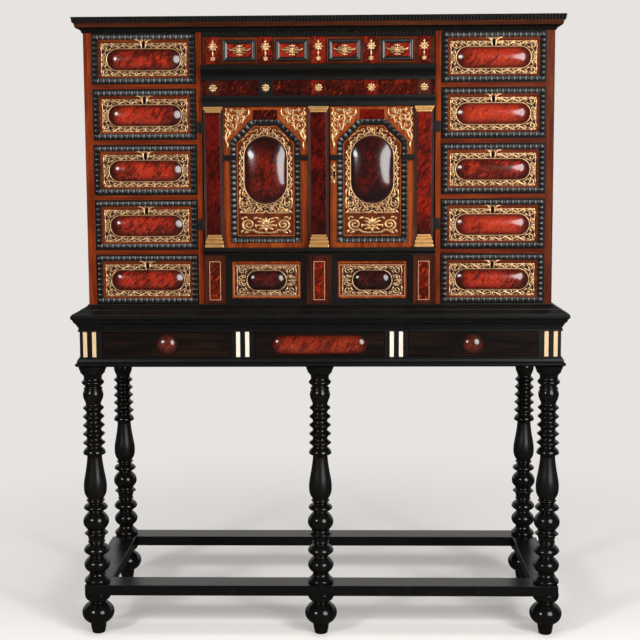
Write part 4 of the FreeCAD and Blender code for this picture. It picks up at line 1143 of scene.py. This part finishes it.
door_kit["line"] = moved(run("line", arch(16), 1.7, DOOR_LINE), (0, -VENEER_PROUD, 0))
# A dark ground oval and foot plate: the wood under the gilt and painted shade in its piercings.
ground_oval = cushion("ground", *(half + OVAL_MARGIN for half in OVAL_HALF), 0.5, 0)
moved(ground_oval, (0, -VENEER_PROUD, OVAL_MIDDLE))
low, high = OVAL_MIDDLE - 108.5, OVAL_MIDDLE - 58
ground_foot = plate("ground_foot", 0, 65, low, high, -VENEER_PROUD, GROUND_PROUD)
door_kit["ground"] = joined("ground", [ground_oval, ground_foot])
print("arch faces", len(door_kit["ripple"].data.polygons))

# %% Gilt work of a door
def oval_path(half_wide, half_tall):
    """The middle line of a vine all round an oval, from the foot of its right side."""
    upright, bend = half_tall - half_wide, math.pi * half_wide

    def spot(s):
        lap = 2 * upright + bend
        side = 1 if s < lap else -1
        s -= 0 if s < lap else lap
        if s < 2 * upright:
            return side * half_wide, side * (s - upright), side, 0
        angle = (s - 2 * upright) / half_wide
        way = side * math.cos(angle), side * math.sin(angle)
        return half_wide * way[0], side * upright + half_wide * way[1], *way
    return spot, 4 * upright + 2 * bend


spot, length = oval_path(61.6, 92.6)
surround = vine(spot, length, 13.0, 6.0, 2.9)
foot_side = [curl(52.5, -85, 8.6, 60, 1.2, 3.6, -1, 0.28),
             curl(34.5, -100.5, 6.4, 30, 1.05, 3.2, -1, 0.32),
             curl(57.5, -102.5, 6.8, 100, 1.1, 3.4, 1, 0.3), leaf(64.3, -66, 64.8, -96, 0.04, 4.2),
             leaf(2, -107.2, 30, -107.4, 0.04, 4.2), leaf(28, -107.4, 60, -107.2, 0.03, 4.2),
             leaf(1, -100, 16, -107, -0.2, 4.8), leaf(42.5, -93, 47, -107, 0.2, 4.4),
             leaf(20, -99, 25, -108, 0.2, 4.2), leaf(64, -48, 64.4, -68, 0.06, 3.8),
             leaf(60, -103, 66, -109, 0.1, 4.8), curl(19, -97, 4.6, 60, 1.0, 3.0, 1, 0.36),
             curl(44, -99.5, 4.8, 140, 1.0, 3.0, -1, 0.36), leaf(8, -98, 15, -103, 0.1, 3.6),
             leaf(57, -70, 63, -78, 0.2, 4.0), curl(39, -91.5, 6.2, 20, 1.1, 3.0, 1, 0.3),
             leaf(26, -93, 32, -103, 0.2, 3.8), leaf(47, -76, 44, -86, 0.2, 3.6),
             curl(62, -92.5, 4.0, 200, 1.0, 2.6, 1, 0.36)]
crest = [curl(9.2, 101.5, 5.8, 230, 1.05, 3.1, -1, 0.32),
         curl(23.5, 98, 5.2, 240, 1.05, 2.9, -1, 0.34), knob(0, 104, 5),
         leaf(1, 93, 2, 103, 0.1, 3.6), leaf(28, 96, 40, 91, 0.2, 3.8),
         leaf(40, 89, 50, 82, 0.2, 3.6), leaf(50, 80, 58, 70, 0.2, 3.4)]
rim = oval(OVAL_HALF[0] + 1.6, OVAL_HALF[1] + 1.6, 3.0, 96)
lines = redrawn(surround, wide=1.08) + redrawn(mirrored(foot_side), wide=1.3)
lines = redrawn(lines + mirrored(crest) + [rim], rise=OVAL_MIDDLE)
print("surround strokes", len(lines))

# %% Foot panel and spandrels of a door
FOOT_PANEL_MIDDLE, FOOT_PANEL_SQUEEZE, FULLER = 1059.5, 0.86, 1.42
BIG_SCROLL = curl(43.5, 2.5, 19, -125, 1.8, 5.2, 1, 0.14)
foot_panel = mirrored([BIG_SCROLL,
                       [(2, -21, 3.6), (13, -21.5, 4.6), (24, -19.5, 5.2), (33, -13, 5.4)],
                       leaf(2, 2, 11, 21, 0.1, 5.4), leaf(3, 0, 22, 13, 0.16, 5.6),
                       leaf(4, -4, 25, -1, 0.16, 5.4), leaf(3, -7, 19, -13, 0.1, 5.2),
                       leaf(57, -13, 62.5, -24, 0.1, 5.6), leaf(32, 17, 21, 23.5, -0.15, 5.2),
                       leaf(58, 15, 62, 24, 0.1, 5.2), leaf(44, -19, 56, -24, 0.1, 4.8),
                       leaf(25, 5, 24, -8, 0.1, 3.6), leaf(46, 22, 57, 24, 0.1, 4.4),
                       leaf(12, 17, 20, 21, 0.2, 4.0)])
foot_panel += [leaf(0, 3, 0, 25, 0, 6.4), leaf(0, -4, 0, -23, 0, 6.4), knob(0, -1, 8)]
foot_panel = redrawn(foot_panel, z=FOOT_PANEL_SQUEEZE, rise=FOOT_PANEL_MIDDLE)
edge_vines = [(straight(95.5, 1346, 97, 1274), 14.5, 6.6),
              (straight(45.5, 1333, 90, 1288.5), 12.6, 5.6),
              (straight(47, 1345.5, 89, 1345.5), 13, 5.6)]
spandrel = []
for (spot, length), pitch, reach in edge_vines:
    spandrel += vine(spot, length, pitch, reach, 3.2)
spandrel += [curl(76.5, 1327, 10.5, 250, 1.3, 4.4, -1, 0.26),
             curl(84, 1308, 5.4, 60, 1.05, 3.6, 1, 0.34),
             curl(60, 1331, 5.0, 30, 1.0, 3.4, 1, 0.36), leaf(97, 1290, 95.5, 1262, 0.1, 5.4),
             leaf(96, 1270, 97.5, 1247, -0.1, 5.4), leaf(88, 1296, 99, 1272, -0.12, 4.6),
             leaf(96, 1346, 102, 1353, 0.1, 4.8), leaf(45, 1330, 42, 1351, 0.15, 4.4),
             leaf(84, 1316, 89, 1326, 0.2, 3.8), leaf(66, 1336, 60, 1342, 0.2, 3.6),
             curl(66, 1338.5, 5.2, 100, 1.0, 3.0, -1, 0.36),
             curl(88.5, 1335.5, 4.8, 200, 1.0, 3.0, 1, 0.36),
             curl(88, 1320, 4.4, 100, 1.0, 2.8, -1, 0.36),
             curl(71, 1313.5, 4.4, 60, 1.0, 2.8, 1, 0.36),
             curl(54.5, 1341, 4.2, 300, 1.0, 2.8, 1, 0.36)]
lines += redrawn(foot_panel + mirrored(spandrel), wide=FULLER)
door_kit["fret"] = gilt_work("fret", lines, (0, -0.9, 0))
print("door gilt strokes", len(lines), "faces", len(door_kit["fret"].data.polygons))

# %% Hang the pieces on both doors
DOOR_FINISH = {"ripple": "ebony_rippled", "veneer": "rosewood_shade", "impost": "ebony_satin",
               "block": "shell_black", "cushion": "shell_cushion_door", "line": "rosewood_line",
               "fret": "gilt_door", "ground": "fret_ground_and_shade"}
RIGHT_FINISH = {**DOOR_FINISH, "cushion": "shell_cushion_door_right", "block": "shell_deep"}
for side, x, finishes in (("left", -ARCH_X, DOOR_FINISH), ("right", ARCH_X, RIGHT_FINISH)):
    stands_for = {"ripple": [f"{side}_door_moulding"], "cushion": [f"{side}_door_cushion"]}
    for kind, piece in door_kit.items():
        made = twin(piece, f"{side}_door_{kind}", (x, DOOR_FACE, 0))
        dress(made, finishes[kind], f"{side}_door", *stands_for.get(kind, []))
for piece in door_kit.values():
    bpy.data.objects.remove(piece)
print("doors dressed")

# %% The lock plate of the right door
LOCK_X, LOCK_Z = 38.5, 1188
lines = mirrored([curl(4.2, rise, 4.2, facing, 1.0, 3.0, 1, 0.34)
                  for rise, facing in ((18, 270), (8, 90), (-8, 270), (-18, 90))])
lines += mirrored([leaf(2.5, -3, 6.6, 4, 0.2, 3.2), leaf(1.5, 13, 6.5, 13.4, 0.1, 3.0),
                   leaf(1.5, -13, 6.5, -13.4, 0.1, 3.0)])
lines += [leaf(0, 17, 0, 27, 0, 4.6), leaf(0, -17, 0, -27, 0, 4.6)]
lock_plate = gilt_work("right_door_plate", lines, (LOCK_X, DOOR_FACE, LOCK_Z))
dress(lock_plate, "gilt_chased", "right_door")
hole = gilt_work("right_door_keyhole", keyhole(), (LOCK_X, DOOR_FACE - 1.4, LOCK_Z + 2), 0.2)
dress(hole, "keyhole_black", "right_door")
print("lock plate strokes", len(lines))

# %% [markdown]
# ## Pilasters
# Three flat columns stand in front of the doors, and the middle one closes with the left door. A
# dark board carries a long strip of shell between a stepped gilt base and a stepped gilt capital.
# The steps are boards with well rounded noses, drawn in and proud by turns as on a turned base.

# %% The three pilasters
PILASTER_FACE, BASE_TOP, CAPITAL_FOOT, SHELL_INSET = -221.0, 1037.0, 1340.0, 7
BASE_SHAPE = ((0.26, 0.0, 5.8), (0.07, 2.6, 3.4), (0.22, 2.0, 5.0), (0.07, 4.8, 2.6),
              (0.20, 4.2, 4.2), (0.18, 7.0, 3.2))
CAPITAL_SHAPE = (0.34, 4.8, 3.0), (0.09, 3.8, 2.2), (0.30, 1.8, 4.4), (0.27, 0.0, 5.2)
PILASTERS = {"left_pilaster": ("left_door", "shell_pilaster"),
             "centre_pilaster": ("left_door", "shell_pilaster"),
             "right_pilaster": ("right_door", "shell_pilaster_right")}


def steps(low, high, foot, head, shape):
    """Stacked gilt steps: each has a share of the height, how far it is drawn in, and how proud."""
    made, tall = [], head - foot
    for i, (share, inset, proud) in enumerate(shape):
        top = foot + share * tall
        made.append(board(f"step_{i}", (low + inset, PILASTER_FACE - proud, foot),
                          (high - inset, PILASTER_FACE, top), 0.3 * share * tall, 4))
        foot = top
    return made


for node, (body, finish) in PILASTERS.items():
    low, high = corners(node)
    shaft = board(f"{node}_board", (low.x, PILASTER_FACE, low.z), (high.x, DOOR_FACE, high.z), 0.7)
    dress(shaft, "rosewood_aged", body, node)
    face = plate(f"{node}_shell", (low.x + high.x) / 2, (high.x - low.x) / 2 - SHELL_INSET,
                 BASE_TOP - 1, CAPITAL_FOOT + 1, PILASTER_FACE, 1.5, 0.6)
    dress(face, finish, body)
    ends = steps(low.x, high.x, low.z, BASE_TOP, BASE_SHAPE)
    ends += steps(low.x, high.x, CAPITAL_FOOT, high.z, CAPITAL_SHAPE)
    dress(joined(f"{node}_gilt", ends), "gilt_plain", body)
print("pilasters dressed")

# %% [markdown]
# ## Entablature frieze and pedestals
# Between two black mouldings lies a frieze of dark shell, with a raised block of wood or shell
# under each strip of the drawer above and a gilt rosette on each block. Under the pilasters each
# pedestal has an upright of shell inside a thread of pale stringing and a rosewood frame.

# %% Shell, blocks and rosettes of the entablature
FRIEZE_FACE, FRIEZE_FOOT, FRIEZE_HEAD = -217.0, 1382.5, 1419.5
FRIEZE_HALF, BLOCK_HALF, BLOCK_PROUD, ROSETTE_Z = 290, 17, 2.6, 1401
PLATE_FINISHES = ["shell_black"] * 3 + ["shell_glow"] * 2 + ["shell_black"]
BLOCK_FINISHES = ["rosewood_deep", "ebony_satin", "shell_upright", "shell_upright",
                  "rosewood_deep"]
edges = [x + side * BLOCK_HALF for x in STRIP_PLACES for side in (-1, 1)]
edges = [-FRIEZE_HALF, *edges, FRIEZE_HALF]
shells = [((a + b) / 2, (b - a) / 2, 0.8) for a, b in zip(edges[::2], edges[1::2])]
blocks = [(x, BLOCK_HALF, BLOCK_PROUD) for x in STRIP_PLACES]
for kind, places, finishes in (("plate", shells, PLATE_FINISHES),
                               ("block", blocks, BLOCK_FINISHES)):
    for i, ((x, half, proud), finish) in enumerate(zip(places, finishes)):
        piece = plate(f"entablature_{kind}_{i + 1}", x, half, FRIEZE_FOOT, FRIEZE_HEAD,
                      FRIEZE_FACE, proud)
        dress(piece, finish, "carcass")
lines = []
for x in STRIP_PLACES:
    lines += spray(x, ROSETTE_Z, 8, 2.4, 11.2, 7.2) + [knob(x, ROSETTE_Z, 7)]
rosettes = gilt_work("entablature_rosettes", lines, (0, FRIEZE_FACE - BLOCK_PROUD, 0))
dress(rosettes, "gilt_chased", "carcass")
print("rosettes", len(STRIP_PLACES))

# %% Shell uprights of the pedestals
PEDESTAL_FACE, UPRIGHT_FOOT, UPRIGHT_HEAD = -216.0, 871.5, 969.5
PEDESTAL_PLACES, THREAD, THREAD_HALF = (-262.75, 0, 262.75), 1.4, 14.2
PEDESTAL_FRAME = (0, 2.4), (0.25, 2.6), (1, 0.5)
threads, uprights, frames = [], [], []
for i, x in enumerate(PEDESTAL_PLACES):
    thread = run(f"thread_{i}", square(THREAD_HALF, UPRIGHT_FOOT, UPRIGHT_HEAD), THREAD,
                 slope(0.9, 0.9))
    threads.append(moved(thread, (x, PEDESTAL_FACE, 0)))
    uprights.append(plate(f"upright_{i}", x, THREAD_HALF - THREAD, UPRIGHT_FOOT + THREAD,
                          UPRIGHT_HEAD - THREAD, PEDESTAL_FACE, 0.6, 0.3))
    surround = run(f"frame_{i}", square(26, UPRIGHT_FOOT - 7, UPRIGHT_HEAD + 13), 8,
                   PEDESTAL_FRAME)
    frames.append(moved(surround, (x, PEDESTAL_FACE, 0)))
dress(joined("pedestal_stringing", threads), "stringing", "carcass")
dress(joined("pedestal_shell", uprights), "shell_pedestal", "carcass")
dress(joined("pedestal_frames", frames), "rosewood_deep", "carcass")
print("pedestals dressed")

# %% [markdown]
# ## Case cornice
# The cornice is four mouldings that go round the front and both sides: a small rippled bead, a
# narrow cove, a plain brown band and a rippled black top. Each is one strip per side, cut on the
# mitre at the front corners, so that the waves meet there as they do on the real piece.

# %% Three-sided cornice strips
CASE_HALF, CASE_BACK = 584.0, 254.0
CORNICE_WAVE = 8.3, 1.6, 0.5


def round_case(name, foot, head, section, wave=None, half=CASE_HALF, front=CASE_FRONT):
    """A moulding round the front and sides of the case, or of another box as deep as it."""
    spread = max(proud for share, proud in section)
    face = strip(f"{name}_front", 2 * (half + spread), head - foot, section, wave)
    sides = [moved(face, (0, front, foot))]
    for hand in (-1, 1):
        cut(face, (hand * half, front, 0), (hand, 1, 0))
        length = CASE_BACK - front + spread
        side = strip(f"{name}_{hand}", length, head - foot, section, wave)
        place = Matrix.Translation((hand * half * MM, (CASE_BACK - length / 2) * MM, foot * MM))
        side.data.transform(place @ Matrix.Rotation(hand * math.pi / 2, 4, "Z"))
        cut(side, (hand * half, front, 0), (-hand, -1, 0))
        cut(side, (0, CASE_BACK - 0.1, 0), (0, 1, 0))
        sides.append(side)
    return joined(name, [tidy(side, 40) for side in sides])


bead = round_case("cornice_bead", 1538, 1548, slope(2.5, 6.75), CORNICE_WAVE)
cove = round_case("cornice_cove", 1548, 1550, slope(9, 14))
band = round_case("cornice_band", 1550, 1561.5, slope(16.5, 19.25))
top = round_case("cornice_top", 1561.5, 1575, slope(22.5, 25), CORNICE_WAVE)
dress(joined("cornice_ripple", [bead, top, cove]), "ebony_cornice", "carcass", "case_cornice")
dress(band, "rosewood_band", "carcass")
print("cornice strips made")

# %% [markdown]
# ## Stand drawers
# Three plain drawers of streaked ebonised wood fill the stand's frieze. The outer two have a round
# boss of shell for a knob, and the middle one a long boss.

# %% Fronts, boxes and bosses of the stand
STAND_FACE, BOSS_MIDDLE = -233.0, 759.5
ROUND_BOSS, LONG_BOSS = (26.5, 26.5, 11.5), (120.5, 24, 11)
for side, sizes, finish in (("left", ROUND_BOSS, "shell_boss_round"),
                            ("middle", LONG_BOSS, "shell_boss_long"),
                            ("right", ROUND_BOSS, "shell_boss_round")):
    node = f"{side}_stand_drawer"
    low, high = corners(node)
    kit = drawer_carcass(node, STAND_FACE)
    kit["cushion"] = moved(cushion("cushion", *sizes),
                           ((low.x + high.x) / 2, STAND_FACE, BOSS_MIDDLE))
    fit_kit(kit, [node], front="ebony_streaked", cushion=finish)
print("stand drawers dressed")

# %% [markdown]
# ## Turned legs and feet
# Each leg was turned on a lathe from one square: balls, sharp rings and a vase, up to a small
# capital, and the bun foot below the stretcher is a separate turning. The outline is drawn as one
# line of radii and heights, its corners are taken off once, and the line is spun round the leg's
# axis. One leg and one foot are spun, and the others are copies on the CAD legs' axes.

# %% Outlines of the leg and the foot
NECK, RING_HALF = 18.6, 9.0


def sharp_ring(middle, tip):
    """The outline of one pointed ring on the ringed shaft."""
    flank = NECK + 0.45 * (tip - NECK)
    below = [(NECK, -1), (flank, -0.55), (tip, -0.14)]
    return [(radius, middle + share * RING_HALF)
            for radius, share in below + [(radius, -share) for radius, share in below[::-1]]]


LEG_OUTLINE = [
    (0, 0), (31.5, 0), (33, 1.5), (33, 7), (31, 9.5), (29.5, 10), (28.5, 12), (24.5, 15.5),
    (21, 19.5), (19.6, 25.5), (21.2, 28), (26.4, 32), (30.4, 37), (32.6, 42.5), (33, 47.5),
    (32.2, 52), (29.6, 56.8), (25.4, 61.8), (20.6, 66.4), (18, 69.5), (19.5, 71.5), (25, 75),
    (30, 79), (33, 83.5), (33, 86.5), (31, 90.5), (28.3, 94.5), (25, 97.5), (19.5, 100.5),
    (18.2, 102), (19, 103.5), (22.4, 106), (22.4, 107.5), (20, 110), (20.2, 111.5), (21.2, 117),
    (23.2, 123.5), (24.6, 125.4), (30.4, 129), (30.4, 130), (24.6, 134.5), (22.3, 138),
    (22.4, 140), (24.8, 143), (28.9, 148), (31.9, 153), (33, 158.5), (32.7, 164), (31.2, 170),
    (28.2, 175.5), (24, 180.5), (19.4, 184.8), (17.8, 187), (18.4, 188.2), (23.5, 190.6),
    (28.6, 193.8), (30.8, 197), (30.8, 199), (28.6, 202.6), (25, 205.6), (19, 208), (17.8, 209.2),
    (18.2, 211), (20.6, 213), (23.6, 215.6), (23.6, 216.8), (20.8, 220), (20.2, 221.4),
    (21.8, 224), (24.6, 228), (26.6, 232.4), (28.2, 237.5), (29.1, 244), (29.4, 251.5),
    (29.2, 259), (28.4, 267), (27, 275.5), (25.2, 285), (23.4, 295), (21.7, 305.5), (20.3, 316),
    (19.2, 326), (18.8, 333), (19.2, 334.6), (23, 336.6), (27.8, 338.6), (28.6, 341),
    (28.4, 344.4), (26.6, 348.6), (23.6, 352.2), (20, 355), (18.6, 357),
]
for middle, tip in ((367.7, 28.4), (391.0, 28.0), (413.4, 27.7), (435.7, 27.2), (458.2, 26.8)):
    LEG_OUTLINE += sharp_ring(middle, tip)
LEG_OUTLINE += [
    (19.4, 470.5), (21, 475), (23, 479.6), (24.8, 484.4), (25.9, 490), (26, 494), (25.2, 499.5),
    (23.2, 504), (22.4, 506), (24, 507.6), (24, 509.6), (21.8, 512), (20, 514), (20.4, 516),
    (24.6, 519), (28.4, 523), (28.8, 525.4), (26.8, 528.6), (24, 531.4), (22.9, 533), (22.8, 537),
    (23.2, 541.5), (26, 545), (30, 549.4), (31.2, 550), (31.2, 553.4), (32.6, 556), (35, 561.5),
    (35.3, 563), (35.3, 569), (0, 569),
]
FOOT_OUTLINE = [
    (0, 0), (14.5, 0), (16.6, 1.5), (18, 8), (19.4, 16), (20.4, 24), (20.8, 27), (24, 29),
    (30, 32.6), (35, 37.6), (38.6, 43), (40.8, 49), (41.5, 54.5), (41, 60), (39, 65), (36, 70),
    (32, 74.6), (27, 78.6), (21.5, 82), (20, 83.6), (21, 85), (26, 88), (30.2, 92), (32.8, 96.6),
    (33.4, 101), (33.4, 107), (32.6, 109), (0, 109),
]
print("leg outline of", len(LEG_OUTLINE), "points, foot outline of", len(FOOT_OUTLINE))

# %% Spin the legs and feet
LATHE_STEPS = 40


def eased(outline):
    """The outline with its corners taken off at a quarter of each side; both ends stay."""
    cuts = [[(a + (b - a) * share) for a, b in zip(here, there)]
            for here, there in zip(outline, outline[1:]) for share in (0.25, 0.75)]
    return [outline[0]] + cuts + [outline[-1]]


def turned(name, outline):
    """A piece spun about its own upright axis from an outline of radii and heights."""
    piece = drawn(name, [[(radius, height, 1) for radius, height in eased(outline)]])
    pick(piece, "VERT")
    bpy.ops.mesh.spin(steps=LATHE_STEPS, angle=2 * math.pi, center=(0, 0, 0), axis=(0, 0, 1))
    close()
    return tidy(piece, 50)


leg, foot = turned("leg", LEG_OUTLINE), turned("foot", FOOT_OUTLINE)
LEG_PLACES = "front_left", "front_middle", "front_right", "rear_left", "rear_right"
for i, place in enumerate(LEG_PLACES):
    low, high = corners(f"{place}_leg")
    axis = ((low.x + high.x) / 2, (low.y + high.y) / 2)
    dress(twin(leg, f"{place}_leg_turned", (*axis, low.z)), "ebony_polished", "carcass",
          f"{place}_leg")
    dress(twin(foot, f"{place}_foot_turned", (*axis, 0)), "ebony_polished", "carcass",
          *([] if i else ["feet"]))
for pattern in (leg, foot):
    bpy.data.objects.remove(pattern)
print("legs and feet turned")

# %% [markdown]
# ## Stretchers and mouldings of the stand
# Four flat boards tie the legs together, and their ends stop short of the foot's round edge. The
# mouldings under and over the stand's drawers have fillets, grooves and nosings, so each is struck
# again as one strip with that section round the front and sides.

# %% Stretchers and mouldings
END_TRIM, STRETCHER_EASE = Vector((7.0, 0, 0)), 1.4
for place in ("front", "rear"):
    low, high = corners(f"{place}_stretcher")
    tie = board(f"{place}_stretcher_board", low + END_TRIM, high - END_TRIM, STRETCHER_EASE)
    dress(tie, "ebony_flat", "carcass", f"{place}_stretcher")
low, high = corners("front_stretcher")
stretcher_wide = high.y - low.y
low, high = corners("side_stretchers")
for hand, side in ((-1, "left"), (1, "right")):
    near, far = sorted((hand * high.x, hand * (high.x - stretcher_wide)))
    tie = board(f"{side}_stretcher_board", (near, low.y, low.z), (far, high.y, high.z),
                STRETCHER_EASE)
    dress(tie, "ebony_flat", "carcass", *([] if hand > 0 else ["side_stretchers"]))
NOSING = ((0, 6.9), (0.1, 10.8), (0.2, 11.5), (0.33, 11.1), (0.42, 8.4), (0.46, 6.0), (0.54, 7.6),
          (0.8, 5.4), (0.86, 2.3), (1, 2.3))
LEDGE = ((0, 3.4), (0.12, 3.4), (0.15, 2.0), (0.27, 2.6), (0.30, 5.2), (0.36, 5.2), (0.52, 9.5),
         (0.56, 12.6), (0.62, 12.8), (0.76, 16.0), (0.80, 18.4), (0.86, 19.0), (0.97, 18.8),
         (1, 17.6))
RIM = ((0, 39.4), (0.1, 38.4), (0.2, 33.0), (0.42, 23.0), (0.46, 20.2), (0.52, 19.8), (0.75, 9.0),
       (0.88, 4.6), (0.92, 3.2), (1, 3.0))
NOSING_OUT, LEDGE_OUT, RIM_FOOT = 11.5, 19.0, 836.0
low, high = corners("stand_apron_moulding")
apron = round_case("stand_nosing", low.z, high.z, NOSING, half=high.x - NOSING_OUT,
                   front=low.y + NOSING_OUT)
dress(apron, "ebony_satin", "carcass", "stand_apron_moulding")
low, high = corners("stand_cornice")
ledge = round_case("stand_ledge", low.z, RIM_FOOT, LEDGE, half=high.x - LEDGE_OUT,
                   front=low.y + LEDGE_OUT)
rim_slope = round_case("stand_rim", RIM_FOOT, high.z, RIM)
dress(joined("stand_ledge", [ledge, rim_slope]), "ebony_satin", "carcass", "stand_cornice")
print("stretchers and mouldings of the stand made")

# %% [markdown]
# ## Floor and light
# The photograph has a pale seamless floor and two soft boxes, one each side, that leave a bright
# patch at both ends of every cushion. Three smaller lamps that no polish mirrors light the legs and
# the floor. The floor is a disc that fades to the backdrop's tone far away, so that no edge shows,
# and it keeps the soft shadow near the feet.

# %% Pale floor and backdrop
BACKDROP, DARK_ROOM, BRIGHT_ROOM = tone(231, 227, 225), tone(44, 43, 44), tone(214, 212, 210)
FILL = [0.26, 0.26, 0.27, 1]
bpy.ops.object.select_all(action="DESELECT")
bpy.ops.mesh.primitive_circle_add(vertices=96, radius=30, fill_type="NGON")
floor = settled("floor")
surface, where = new_finish("pale_floor")
net = surface.id_data
apart = where.node("ShaderNodeVectorMath", {"operation": "LENGTH"}, {0: where}, "Value")
watched = where.node("ShaderNodeLightPath", (), (), "Is Camera Ray")
mirrored_ray = where.node("ShaderNodeLightPath", (), (), "Is Glossy Ray")
far = (0.25 + 0.75 * apart.between(0.4, 2.0)) * watched + mirrored_ray * 0.96
glow = where.node("ShaderNodeEmission", (),
                  {"Color": watched.mix(DARK_ROOM, BACKDROP), "Strength": 1.0})
paper = where.cloud(3.0, 3.0)
lay(surface, paper.mix(tone(248, 243, 237), tone(253, 248, 242)), 0.6)
shown = where.node("ShaderNodeMixShader", (), {0: far, 1: Wire(net, surface.outputs[0]), 2: glow})
net.links.new(shown.socket, net.nodes["Material Output"].inputs["Surface"])
floor.data.materials.append(FINISHES["pale_floor"])

world = bpy.data.worlds.new("studio")
world.use_nodes = True
bpy.context.scene.world = world
sky = world.node_tree
path = Wire(sky, sky.nodes.new("ShaderNodeLightPath").outputs["Is Camera Ray"])
glossy = Wire(sky, path.socket.node.outputs["Is Glossy Ray"])
clear = Wire(sky, path.socket.node.outputs["Is Transmission Ray"])
seen = path + glossy + clear
facing = path.node("ShaderNodeTexCoord", (), (), "Generated")
depth_way = facing.node("ShaderNodeSeparateXYZ", (), {0: facing}, 1)
behind = depth_way.between(0.15, 0.7)
reflected = behind.mix(DARK_ROOM, BRIGHT_ROOM)
fill = seen.mix(FILL, path.mix(reflected, BACKDROP))
shade = path.node("ShaderNodeBackground", (), {"Color": fill, "Strength": 1.0})
sky.links.new(shade.socket, sky.nodes["World Output"].inputs["Surface"])
print("floor and backdrop set")

# %% Soft boxes
def soft_box(name, place, aim, wide, tall, watts):
    """A soft area lamp that faces its aim."""
    bpy.ops.object.light_add(type="AREA", location=place)
    lamp = bpy.context.object
    lamp.name = name
    lamp.data.shape, lamp.data.energy = "ELLIPSE", watts
    lamp.data.size, lamp.data.size_y = wide, tall
    lamp.rotation_euler = (Vector(aim) - Vector(place)).to_track_quat("-Z", "Y").to_euler()
    return lamp


DOORS, LEGS, KEY_WATTS = (0, 0, 1.1), (0, 0, 0.5), 40
soft_box("left_box", (-2.12, -2.85, 2.0), DOORS, 1.05, 0.9, 40)
soft_box("right_box", (1.9, -2.8, 1.75), DOORS, 1.8, 2.3, 92)
for name, place, size in (("left_key", (-2.3, -2.9, 2.35), 0.5),
                          ("right_key", (2.3, -2.9, 2.35), 0.5), ("top_key", (0, -0.6, 3.4), 1.5)):
    soft_box(name, place, LEGS, size, size, KEY_WATTS).visible_glossy = False
bpy.context.scene.view_settings.view_transform = "Standard"
